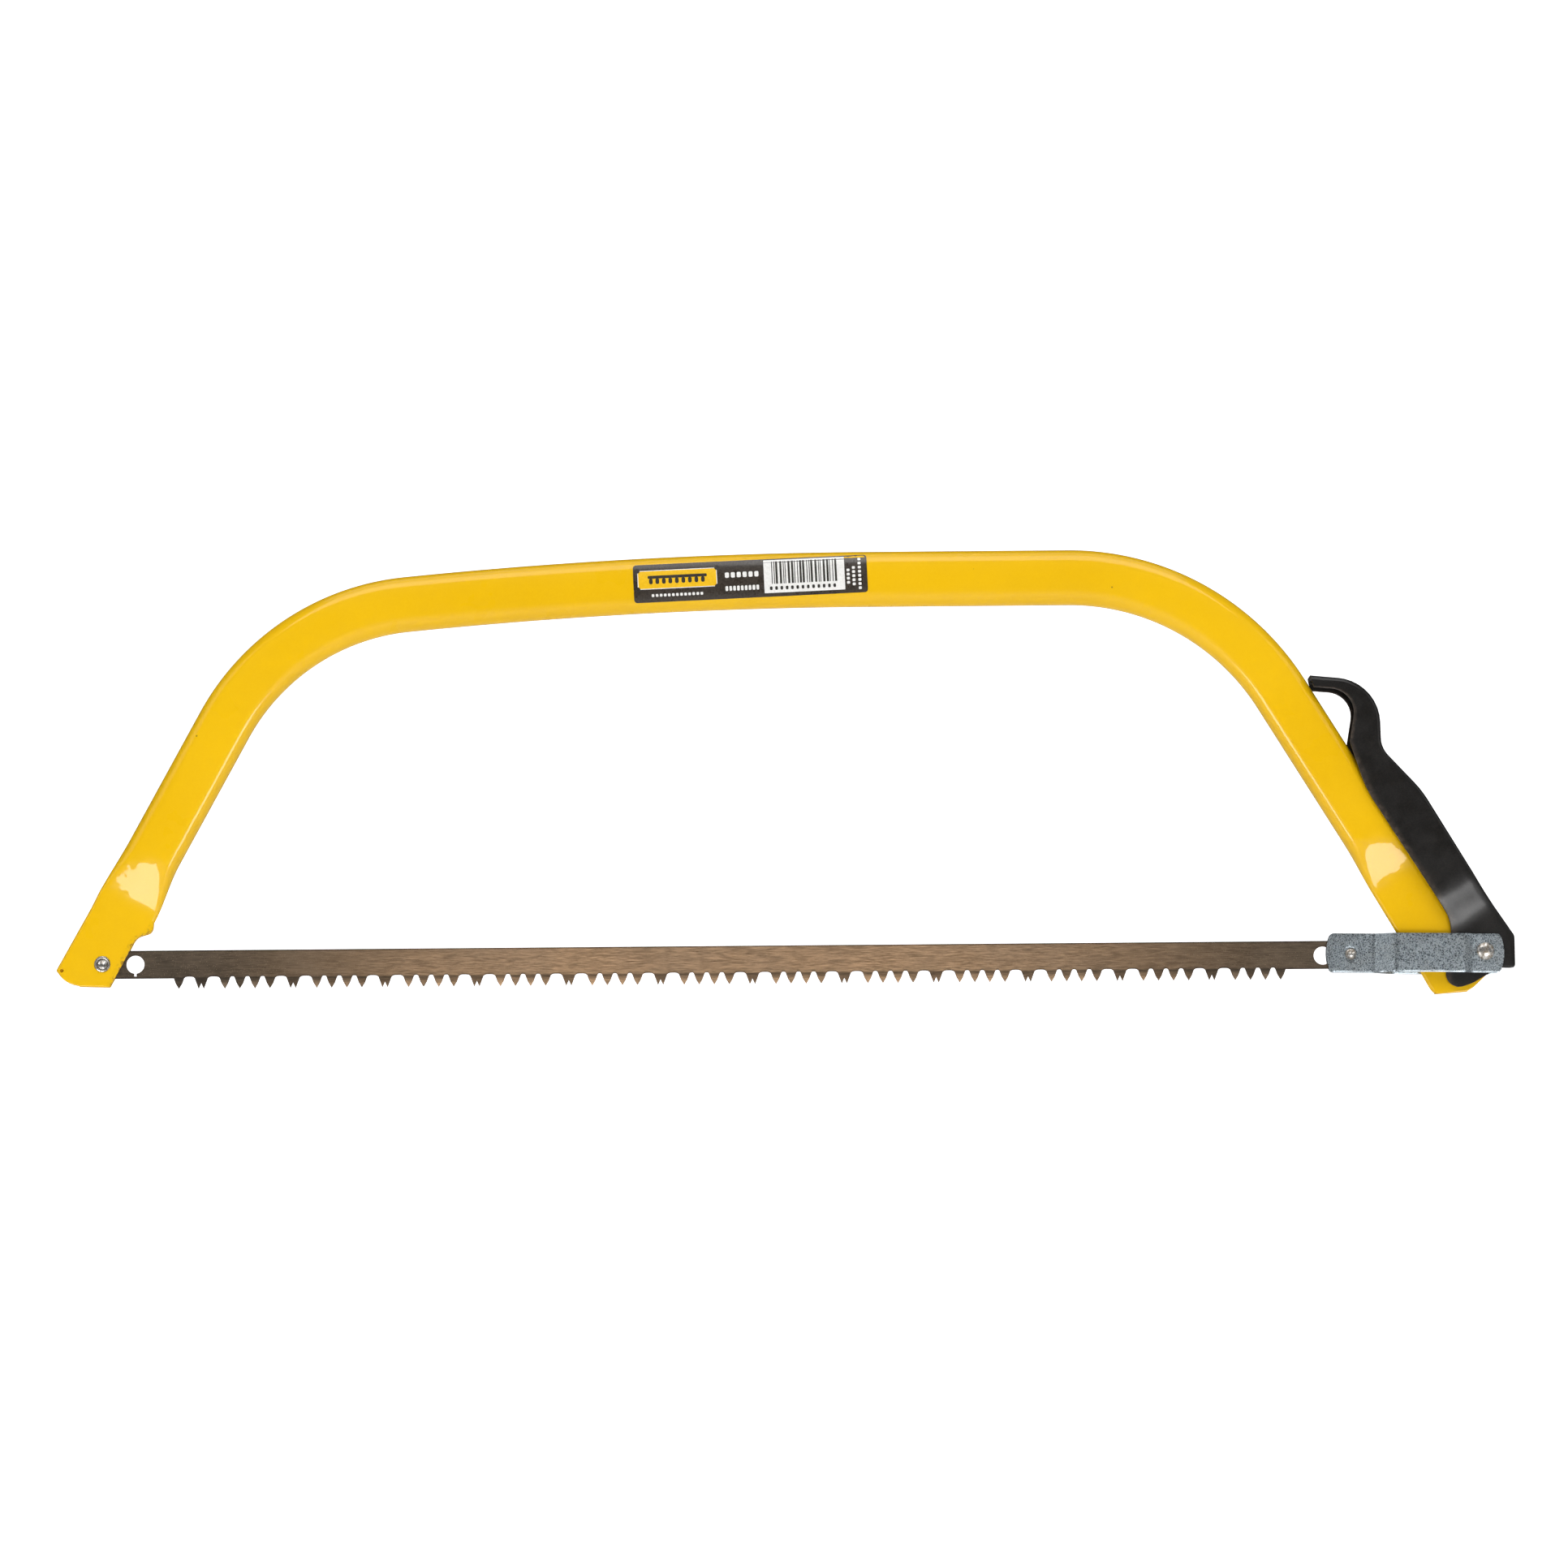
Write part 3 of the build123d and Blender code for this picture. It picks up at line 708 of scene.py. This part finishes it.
def lever_outlines():
    """The lever's outer and inner outlines, matched point by point, from the hook's tip to the pivot end."""
    outer = [(592.2, 136.75), (625.8, 133.6), (626.5, 100.6), (646.0, 79.6), (673.9, 32.6), (690.2, 8.2)]
    inner = [(593.7, 130.85), (615.2, 129.0), (610.9, 103.6), (618.4, 80.4), (640.4, 45.3), (659.6, 14.6)]
    outer += [(690.2, -7.2), (678.0, -12.6), (666.5, -16.5)]
    inner += [(656.7, -6.0), (655.4, -14.5), (661.4, -16.8)]
    outer_reach = [20.0, 5.0, 6.0, 5.0, 1.4, 1.6, 6.0]
    inner_reach = [12.8, 0.8, 8.0, 5.0, 6.4, 1.6, 5.0]
    steps = 9
    return softened(outer, outer_reach, steps), softened(inner, inner_reach, steps)


def lever_half_width(spot):
    """Half the lever's width at a place: wide along the handle, narrow round the pivot."""
    lean = math.radians(LEVER_AXIS_LEAN)
    axis = Vector((-math.sin(lean), math.cos(lean)))
    along = (spot - Vector(LEVER_PIVOT)).dot(axis)
    share = ease((along - NARROW_BELOW) / (WIDE_ABOVE - NARROW_BELOW))
    return blend(PIVOT_HALF_WIDTH, HANDLE_HALF_WIDTH, share)


def channel_chain(length, wall, rim):
    """Across the channel from one cheek's edge over the web to the other, as (from web, inset, web share)."""
    corner = LEVER_CORNER - wall
    cheek = [(length, wall + (-rim if wall else rim), 0.0), (length - 0.3, wall, 0.0)]
    cheek += [(blend(length - 0.3, LEVER_CORNER, step / 7), wall, 0.0) for step in range(1, 7)]
    for step in range(7):
        angle = math.pi / 2 * step / 6
        cheek.append((LEVER_CORNER - corner * math.sin(angle), LEVER_CORNER - corner * math.cos(angle), 0.0))
    web = [(wall, LEVER_CORNER, step / 4) for step in range(1, 4)]
    return cheek, web


def lever_row(outer_spot, inner_spot, wall):
    """One row of the channel's skin, from the near cheek's edge to the far cheek's edge."""
    direction = (inner_spot - outer_spot).normalized()
    length = (inner_spot - outer_spot).length
    cheek, web = channel_chain(length, wall, 0.25)
    row = []
    for side, chain in ((1, cheek), (0, web), (-1, cheek[::-1])):
        for distance, inset, share in chain:
            spot = outer_spot + direction * distance
            depth = lever_half_width(spot) - inset
            row.append(place(spot.x, spot.y, depth * (side if side else 1 - 2 * share)))
    return row


def lever_shape():
    outer_line, inner_line = lever_outlines()
    rows = []
    pairs = list(zip(outer_line, inner_line))
    for (outer, inner), (next_outer, next_inner) in zip(pairs, pairs[1:]):
        reach = max((next_outer - outer).length, (next_inner - inner).length)
        count = max(1, math.ceil(reach / LEVER_ROW_STEP))
        for step in range(count):
            share = step / count
            rows.append((blend(outer, next_outer, share), blend(inner, next_inner, share)))
    rows.append((outer_line[-1], inner_line[-1]))
    web_end = min(i for i, (outer, inner) in enumerate(rows) if outer.y < WEB_FOOT)
    outer = [lever_row(start, end, 0.0) for start, end in rows]
    inner = [lever_row(start, end, LEVER_WALL) for start, end in rows]
    cheek_cells = 7
    columns = len(outer[0])

    def missing(row, column):
        return row >= web_end and cheek_cells <= column < columns - 1 - cheek_cells

    profile = [1.0, 0.9] + [0.0] * (columns - 4) + [0.9, 1.0]
    return shell(outer, inner, missing, [profile] * len(rows))


# ---------------------------------------------------------------- label


def tube_surface(across):
    """How far the round tube's near face stands from the middle plane, at a distance from its centreline."""
    edge_centre = TUBE_HALF_WIDTH - TUBE_EDGE_RADIUS
    rise = TUBE_HALF_THICKNESS - TUBE_EDGE_RADIUS
    face_radius = (edge_centre**2 + TUBE_HALF_THICKNESS**2 - TUBE_EDGE_RADIUS**2) / (2 * rise)
    tangent = face_radius * math.sin(math.atan2(edge_centre, face_radius - TUBE_HALF_THICKNESS))
    if abs(across) <= tangent:
        return TUBE_HALF_THICKNESS - face_radius + math.sqrt(face_radius**2 - across**2)
    return math.sqrt(TUBE_EDGE_RADIUS**2 - (abs(across) - edge_centre) ** 2)


def on_label(u, v, rise):
    """A point of the label, from its middle, laid on the tube."""
    angle = math.radians(LABEL_TILT)
    x = LABEL_CENTRE[0] + u * math.cos(angle) - v * math.sin(angle)
    y = LABEL_CENTRE[1] + u * math.sin(angle) + v * math.cos(angle)
    crown_centre = (LEVEL_START[0], LEVEL_START[1] - CROWN[0])
    across = math.hypot(x - crown_centre[0], y - crown_centre[1]) - CROWN[0]
    return place(x, y, tube_surface(across) + rise)


def patch(left, low, right, high, base, rise, corner=0.0):
    """A thin printed or cut field on the label, with rounded corners."""
    stations = [left, right]
    for d in (0.12, 0.35, 0.65, 1.0):
        stations += [left + corner * d, right - corner * d]
    stations += [blend(left + corner, right - corner, step / 30) for step in range(1, 30) if right - left > 8]
    stations = sorted(set(stations))
    outer, inner = [], []
    for u in stations:
        inset = 0.0
        nearest = min(u - left, right - u)
        if corner and nearest < corner:
            inset = corner - math.sqrt(max(0.0, corner**2 - (corner - nearest) ** 2))
        heights = [blend(low + inset, high - inset, step / 10) for step in range(11)]
        outer.append([on_label(u, v, rise) for v in heights])
        inner.append([on_label(u, v, base) for v in heights])
    return shell(outer, inner)


def joined(shapes):
    """Several shapes as one."""
    vertices, faces, wear = [], [], []
    for points, polygons, marks in shapes:
        faces += [tuple(len(vertices) + index for index in polygon) for polygon in polygons]
        vertices += points
        wear += marks
    return vertices, faces, wear


def label_layout():
    """The label's printing by ink, as (left, low, right, high, corner). It is generic and spells nothing."""
    badge = (-55.4, -3.0, -16.3, 6.4)
    left, low, right, high = badge
    yellow = [(left + 0.35, low + 0.35, right - 0.35, high - 0.35, 1.0)]
    white = [(left, low, right, high, 1.2)]
    dark = []
    for u in (left, right):
        for v in (low, high):
            dark.append((u - 1.25, v - 1.25, u + 1.25, v + 1.25, 1.2))
    dark.append((left + 5.0, 2.2, right - 5.0, 3.7, 0.5))
    dark += [(left + 5.6 + 3.2 * i, -0.5, left + 7.4 + 3.2 * i, 2.3, 0.8) for i in range(9)]
    white += [(-48.8 + 2.0 * i, -6.8, -47.5 + 2.0 * i, -5.4, 0.4) for i in range(13)]
    white += [(-12.4 + 2.9 * i, 0.9, -10.4 + 2.9 * i, 3.6, 0.6) for i in range(6)]
    white += [(-12.4 + 1.9 * i, -5.6, -11.1 + 1.9 * i, -3.2, 0.5) for i in range(9)]
    white.append((6.7, -7.6, 46.4, 8.8, 0.3))
    for u, low, count in ((47.4, -4.9, 4), (50.1, -5.8, 5), (53.0, -7.8, 8)):
        white += [(u, low + 2.05 * i, u + 1.5, low + 1.35 + 2.05 * i, 0.4) for i in range(count)]
    u = 10.5
    i = 0
    while u < 42.4:
        width = 0.42 + 0.3 * ((i * i + 3 * i) % 4)
        dark.append((u, -3.2, u + width, 8.0, 0.0))
        u += width + 0.42 + 0.3 * ((2 * i + 1) % 3)
        i += 1
    dark += [(9.4 + 2.6 * i, -6.2, 10.7 + 2.6 * i, -4.4, 0.5) for i in range(13)]
    return {"white": white, "yellow": yellow, "dark": dark}


# ---------------------------------------------------------------- materials


class Recipe:
    """A new material, with short ways to add the nodes that it needs."""

    def __init__(self, name, roughness, metallic=0.0, coat=0.0, coat_roughness=0.05, specular=0.5):
        self.material = bpy.data.materials.new(name)
        self.material.use_nodes = True
        self.nodes = self.material.node_tree.nodes
        self.links = self.material.node_tree.links
        self.shader = self.nodes["Principled BSDF"]
        self.shader.inputs["Roughness"].default_value = roughness
        self.shader.inputs["Metallic"].default_value = metallic
        self.shader.inputs["Coat Weight"].default_value = coat
        self.shader.inputs["Coat Roughness"].default_value = coat_roughness
        self.shader.inputs["Specular IOR Level"].default_value = specular
        self.place = self.nodes.new("ShaderNodeTexCoord").outputs["Object"]

    def stretched(self, x, y, z):
        """The object's coordinates, scaled along each axis."""
        node = self.nodes.new("ShaderNodeMapping")
        node.inputs["Scale"].default_value = (x, y, z)
        self.links.new(self.place, node.inputs["Vector"])
        return node.outputs["Vector"]

    def noise(self, scale, detail=3.0, roughness=0.5, where=None):
        node = self.nodes.new("ShaderNodeTexNoise")
        node.inputs["Scale"].default_value = scale
        node.inputs["Detail"].default_value = detail
        node.inputs["Roughness"].default_value = roughness
        self.links.new(where or self.place, node.inputs["Vector"])
        return node.outputs["Fac"]

    def cells(self, scale, output="Distance", where=None):
        node = self.nodes.new("ShaderNodeTexVoronoi")
        node.inputs["Scale"].default_value = scale
        self.links.new(where or self.place, node.inputs["Vector"])
        return node.outputs[output]

    def remap(self, value, low, high, to_low=0.0, to_high=1.0):
        node = self.nodes.new("ShaderNodeMapRange")
        node.interpolation_type = "SMOOTHSTEP"
        for name, number in (("From Min", low), ("From Max", high), ("To Min", to_low), ("To Max", to_high)):
            node.inputs[name].default_value = number
        self.links.new(value, node.inputs["Value"])
        return node.outputs["Result"]

    def times(self, first, second):
        node = self.nodes.new("ShaderNodeMath")
        node.operation = "MULTIPLY"
        self.feed(node.inputs[0], first)
        self.feed(node.inputs[1], second)
        return node.outputs["Value"]

    def plus(self, first, second):
        node = self.nodes.new("ShaderNodeMath")
        node.operation = "ADD"
        node.use_clamp = True
        self.feed(node.inputs[0], first)
        self.feed(node.inputs[1], second)
        return node.outputs["Value"]

    def mixed(self, share, first, second):
        """A colour a share of the way from the first to the second."""
        node = self.nodes.new("ShaderNodeMix")
        node.data_type = "RGBA"
        self.feed(node.inputs["Factor"], share)
        self.feed(node.inputs[6], first)
        self.feed(node.inputs[7], second)
        return node.outputs[2]

    def wear(self):
        node = self.nodes.new("ShaderNodeAttribute")
        node.attribute_name = "wear"
        return node.outputs["Fac"]

    def axis(self, name):
        node = self.nodes.new("ShaderNodeSeparateXYZ")
        self.links.new(self.place, node.inputs["Vector"])
        return node.outputs[name]

    def feed(self, socket, value):
        if isinstance(value, bpy.types.NodeSocket):
            self.links.new(value, socket)
        elif isinstance(value, tuple):
            socket.default_value = (*value, 1.0)
        else:
            socket.default_value = value

    def colour(self, value):
        self.feed(self.shader.inputs["Base Color"], value)

    def roughness(self, value):
        self.feed(self.shader.inputs["Roughness"], value)

    def bump(self, height, depth, strength=1.0, coat=False):
        """Raises the surface by a height from 0 to 1 times a depth in millimetres."""
        node = self.nodes.new("ShaderNodeBump")
        node.inputs["Distance"].default_value = depth * MM
        node.inputs["Strength"].default_value = strength
        self.links.new(height, node.inputs["Height"])
        self.links.new(node.outputs["Normal"], self.shader.inputs["Normal"])
        if coat:
            self.links.new(node.outputs["Normal"], self.shader.inputs["Coat Normal"])


def frame_paint():
    """Glossy yellow stove enamel, with orange peel, waves where it is pressed, specks and darker cut rims."""
    recipe = Recipe("frame_paint", 0.32, coat=0.55, coat_roughness=0.04, specular=0.1)
    broad = recipe.remap(recipe.noise(9.0, 2.0), 0.3, 0.7)
    yellow = recipe.mixed(broad, (0.765, 0.438, 0.002), (0.82, 0.48, 0.004))
    fine = recipe.remap(recipe.noise(900.0, 4.0, 0.6), 0.35, 0.75, 0.0, 0.16)
    yellow = recipe.mixed(fine, yellow, (0.87, 0.57, 0.012))
    specks = recipe.times(
        recipe.remap(recipe.cells(260.0), 0.16, 0.08), recipe.remap(recipe.noise(60.0, 2.0), 0.66, 0.72)
    )
    yellow = recipe.mixed(specks, yellow, (0.16, 0.08, 0.01))
    chips = recipe.times(recipe.wear(), recipe.remap(recipe.noise(650.0, 4.0, 0.7), 0.5, 0.62, 0.1, 0.8))
    recipe.colour(recipe.mixed(chips, yellow, (0.22, 0.10, 0.015)))
    dullness = recipe.remap(recipe.noise(40.0, 3.0), 0.3, 0.7, 0.26, 0.36)
    recipe.roughness(recipe.plus(dullness, recipe.times(chips, 0.3)))
    height = recipe.axis("Z")
    pressed = recipe.times(recipe.remap(height, -0.064, -0.054), recipe.remap(height, -0.026, -0.038))
    waves = recipe.times(recipe.noise(170.0, 1.0, 0.4), pressed)
    recipe.bump(recipe.plus(recipe.times(recipe.noise(330.0, 2.0, 0.4), 0.04), waves), 0.16, coat=True)
    return recipe.material


def lever_paint():
    """Semi-gloss black enamel over a pressed strip, rubbed brown along its edges."""
    recipe = Recipe("lever_paint", 0.4, coat=0.3, coat_roughness=0.16, specular=0.25)
    grain = recipe.remap(recipe.noise(1300.0, 3.0, 0.7), 0.3, 0.75)
    black = recipe.mixed(grain, (0.0040, 0.0035, 0.0032), (0.011, 0.0092, 0.0078))
    patches = recipe.remap(recipe.noise(45.0, 5.0, 0.65), 0.5, 0.75, 0.0, 0.55)
    black = recipe.mixed(patches, black, (0.019, 0.0155, 0.0125))
    rubbed = recipe.times(recipe.wear(), recipe.remap(recipe.noise(420.0, 4.0, 0.7), 0.4, 0.7, 0.25, 0.9))
    recipe.colour(recipe.mixed(rubbed, black, (0.085, 0.062, 0.045)))
    dullness = recipe.remap(recipe.noise(120.0, 4.0), 0.3, 0.7, 0.30, 0.44)
    recipe.roughness(recipe.plus(dullness, recipe.times(rubbed, 0.12)))
    fine_waves = recipe.times(recipe.noise(900.0, 3.0, 0.6), 0.6)
    broad_waves = recipe.times(recipe.noise(150.0, 2.0), 0.4)
    recipe.bump(recipe.plus(fine_waves, broad_waves), 0.02)
    return recipe.material


def zinc_plate():
    """Zinc-plated sheet steel: a grey-blue spangle of fine light and dark crystals."""
    recipe = Recipe("zinc_plate", 0.4, metallic=1.0, specular=0.5)
    crystals = recipe.remap(recipe.cells(950.0, "Color"), 0.15, 0.95)
    grain = recipe.remap(recipe.noise(1500.0, 4.0, 0.75), 0.3, 0.72)
    metal = recipe.mixed(grain, (0.13, 0.165, 0.19), (0.58, 0.635, 0.67))
    metal = recipe.mixed(recipe.times(crystals, 0.4), metal, (0.36, 0.41, 0.44))
    clouds = recipe.remap(recipe.noise(110.0, 4.0, 0.6), 0.4, 0.7, 0.0, 0.35)
    metal = recipe.mixed(clouds, metal, (0.30, 0.31, 0.30))
    recipe.colour(metal)
    recipe.roughness(recipe.remap(grain, 0.0, 1.0, 0.25, 0.38))
    recipe.bump(recipe.noise(1100.0, 3.0, 0.7), 0.04)
    return recipe.material


def rivet_steel():
    """Polished rivet steel, with fine turned marks and a little tarnish."""
    recipe = Recipe("rivet_steel", 0.2, metallic=1.0)
    tarnish = recipe.remap(recipe.noise(500.0, 5.0, 0.65), 0.38, 0.66)
    recipe.colour(recipe.mixed(tarnish, (0.56, 0.545, 0.52), (0.20, 0.165, 0.125)))
    recipe.roughness(recipe.remap(tarnish, 0.0, 1.0, 0.26, 0.42))
    recipe.bump(recipe.noise(700.0, 2.0, 0.5), 0.002)
    return recipe.material


def blade_steel():
    """Hardened spring steel: brown scale, streaked along the blade, with dark ends and black edges."""
    recipe = Recipe("blade_steel", 0.42, metallic=1.0, specular=0.5)
    along = recipe.stretched(0.05, 1.0, 1.0)
    streaks = recipe.remap(recipe.noise(3600.0, 5.0, 0.7, along), 0.32, 0.7)
    pale = recipe.mixed(streaks, (0.34, 0.22, 0.126), (0.60, 0.39, 0.23))
    dark = recipe.mixed(streaks, (0.040, 0.032, 0.024), (0.090, 0.072, 0.053))
    mid_length = recipe.remap(recipe.axis("X"), -0.31, -0.10)
    mid_length = recipe.times(mid_length, recipe.remap(recipe.axis("X"), 0.28, 0.06))
    steel = recipe.mixed(mid_length, dark, pale)
    clouds = recipe.remap(recipe.noise(22.0, 4.0, 0.6, recipe.stretched(0.6, 1.0, 1.0)), 0.35, 0.7)
    steel = recipe.mixed(recipe.times(clouds, 0.3), steel, (0.30, 0.225, 0.16))
    specks = recipe.remap(recipe.cells(1300.0), 0.2, 0.06, 0.0, 0.75)
    steel = recipe.mixed(specks, steel, (0.42, 0.30, 0.20))
    scratches = recipe.noise(700.0, 3.0, 0.8, recipe.stretched(0.2, 1.0, 2.4))
    scratches = recipe.remap(scratches, 0.66, 0.74, 0.0, 0.5)
    steel = recipe.mixed(scratches, steel, (0.06, 0.048, 0.038))
    recipe.colour(recipe.mixed(recipe.times(recipe.wear(), 0.85), steel, (0.03, 0.026, 0.022)))
    recipe.roughness(recipe.remap(streaks, 0.0, 1.0, 0.36, 0.5))
    recipe.bump(recipe.noise(1200.0, 4.0, 0.7, along), 0.02)
    return recipe.material


def printed(name, low, high, roughness):
    """Printed film: an ink of two close shades, mottled finely."""
    recipe = Recipe(name, roughness, coat=0.4, coat_roughness=0.12, specular=0.4)
    mottle = recipe.remap(recipe.noise(1100.0, 4.0, 0.65), 0.3, 0.7)
    recipe.colour(recipe.mixed(mottle, low, high))
    recipe.roughness(recipe.remap(recipe.noise(160.0, 3.0), 0.3, 0.7, roughness - 0.05, roughness + 0.06))
    recipe.bump(recipe.noise(700.0, 2.0), 0.006)
    return recipe.material


# ---------------------------------------------------------------- the saw


def build_saw():
    yellow, black, zinc = frame_paint(), lever_paint(), zinc_plate()
    rivet, steel = rivet_steel(), blade_steel()
    film = printed("label_film", (0.024, 0.018, 0.013), (0.050, 0.039, 0.030), 0.3)
    inks = {
        "white": printed("ink_white", (0.74, 0.73, 0.70), (0.86, 0.85, 0.83), 0.4),
        "yellow": printed("ink_yellow", (0.78, 0.44, 0.004), (0.86, 0.52, 0.01), 0.35),
        "dark": printed("ink_dark", (0.020, 0.017, 0.014), (0.04, 0.034, 0.028), 0.35),
    }
    add_piece(
        "bow_tube", frame_tube_shape(), "frame", yellow, ["frame_tube"], frame_tube_cutters()
    )
    add_piece("front_rivet", front_pin_shape(), "frame", rivet, ["front_blade_pin"])
    add_piece("saw_blade", blade_shape(), "blade", steel, ["blade"], blade_cutters())
    add_piece("tension_lever", lever_shape(), "lever", black, ["lever"])
    add_piece("rear_pin", rear_pin_shape(), "link", rivet, ["rear_blade_pin"])
    for side, word in ((1, "near"), (-1, "far")):
        add_piece(
            f"link_strip_{word}",
            link_plate_shape(side),
            "link",
            zinc,
            [f"link_plate_{word}"],
            link_plate_cutters(side),
            bevel=0.4,
        )
        dome = link_rivet_shape(side)
        add_piece(f"dome_rivet_{word}", dome, "lever", rivet, [f"link_rivet_{word}"])
    half_length, half_height = LABEL_SIZE[0] / 2, LABEL_SIZE[1] / 2
    sticker = patch(-half_length, -half_height, half_length, half_height, 0.0, FILM_RISE, LABEL_CORNER)
    add_piece("label_film", sticker, "frame", film, ["label"])
    rise = {"white": PRINT_RISE - 0.03, "yellow": PRINT_RISE - 0.015, "dark": PRINT_RISE}
    for ink, fields in label_layout().items():
        shapes = [patch(*field[:4], FILM_RISE - 0.02, rise[ink], field[4]) for field in fields]
        add_piece(f"label_print_{ink}", joined(shapes), "frame", inks[ink])
    for name, finish in (("lever_pivot_pin", rivet), ("pivot_washer_near", zinc), ("pivot_washer_far", zinc)):
        node = frame["nodes"][name]
        node.data.materials.clear()
        node.data.materials.append(finish)


# ---------------------------------------------------------------- studio


def stage_surface(name, corners, colour, glow):
    """A flat part of the studio, not of the saw."""
    mesh = bpy.data.meshes.new(name)
    mesh.from_pydata([Vector(corner) for corner in corners], [], [tuple(range(len(corners)))])
    surface = bpy.data.objects.new(name, mesh)
    bpy.context.scene.collection.objects.link(surface)
    material = bpy.data.materials.new(name)
    material.use_nodes = True
    shader = material.node_tree.nodes["Principled BSDF"]
    shader.inputs["Base Color"].default_value = (colour, colour, colour, 1.0)
    shader.inputs["Roughness"].default_value = 0.9
    shader.inputs["Emission Color"].default_value = (1.0, 1.0, 1.0, 1.0)
    shader.inputs["Emission Strength"].default_value = glow
    mesh.materials.append(material)
    return surface


def area_light(name, spot, target, width, height, power):
    """A soft box that looks at a target."""
    light = bpy.data.lights.new(name, "AREA")
    light.shape = "RECTANGLE"
    light.size = width
    light.size_y = height
    light.energy = power
    lamp = bpy.data.objects.new(name, light)
    lamp.location = spot
    lamp.rotation_euler = (Vector(target) - Vector(spot)).to_track_quat("-Z", "Y").to_euler()
    bpy.context.scene.collection.objects.link(lamp)


def build_studio():
    """A pale floor and white walls, which are only seen: a dim room and soft boxes give the light."""
    world = bpy.data.worlds.new("studio")
    world.use_nodes = True
    background = world.node_tree.nodes["Background"]
    background.inputs["Color"].default_value = (1.0, 1.0, 1.0, 1.0)
    background.inputs["Strength"].default_value = ROOM_LIGHT
    bpy.context.scene.world = world
    far, low, high = 4.0, FLOOR_LEVEL, 5.0
    around = [(-far, -far), (far, -far), (far, far), (-far, far)]
    stage_surface("floor", [(x, y, low) for x, y in around], 0.9, 0.3)
    sides = {"ceiling": [(x, y, high) for x, y in around]}
    for i, (start, end) in enumerate(zip(around, around[1:] + around[:1])):
        sides[f"wall_{i}"] = [(*start, low), (*end, low), (*end, high), (*start, high)]
    for name, corners in sides.items():
        wall = stage_surface(name, corners, 0.9, 1.0)
        wall.visible_diffuse = False
        wall.visible_glossy = False
        wall.visible_shadow = False
    area_light("key_light", (0.0, -1.7, 1.9), (0, 0, 0), 2.4, 1.6, 37)
    area_light("left_light", (-2.2, -1.2, 1.0), (0, 0, 0), 1.6, 1.6, 8)
    area_light("right_light", (2.2, -1.2, 1.0), (0, 0, 0), 1.6, 1.6, 8)
    area_light("top_light", (0.0, -0.2, 2.2), (0, 0, 0), 2.4, 1.0, 10)
    for side, word in ((-1, "left"), (1, "right")):
        area_light(f"low_{word}_light", (side * 0.56, -1.0, -0.36), (0, 0, -0.05), 0.36, 0.24, 2.6)


def build_camera():
    """A long lens that looks up a little, rolled so that the blade climbs to the right."""
    data = bpy.data.cameras.new("camera")
    data.lens = CAMERA_LENS
    data.sensor_width = CAMERA_SENSOR
    camera = bpy.data.objects.new("camera", data)
    elevation = math.radians(CAMERA_ELEVATION)
    distance = VIEW_WIDTH * CAMERA_LENS / CAMERA_SENSOR
    offset = Vector((0.0, -math.cos(elevation), math.sin(elevation))) * distance
    camera.location = place(*VIEW_CENTRE) + offset
    look = (-offset).to_track_quat("-Z", "Y").to_matrix().to_4x4()
    look.translation = camera.location
    camera.matrix_world = look @ roll_matrix(-CAMERA_ROLL)
    bpy.context.scene.collection.objects.link(camera)
    bpy.context.scene.camera = camera


def roll_matrix(degrees):
    return Matrix.Rotation(math.radians(degrees), 4, "Z")


bpy.context.scene.view_settings.view_transform = "Standard"
build_saw()
build_studio()
build_camera()
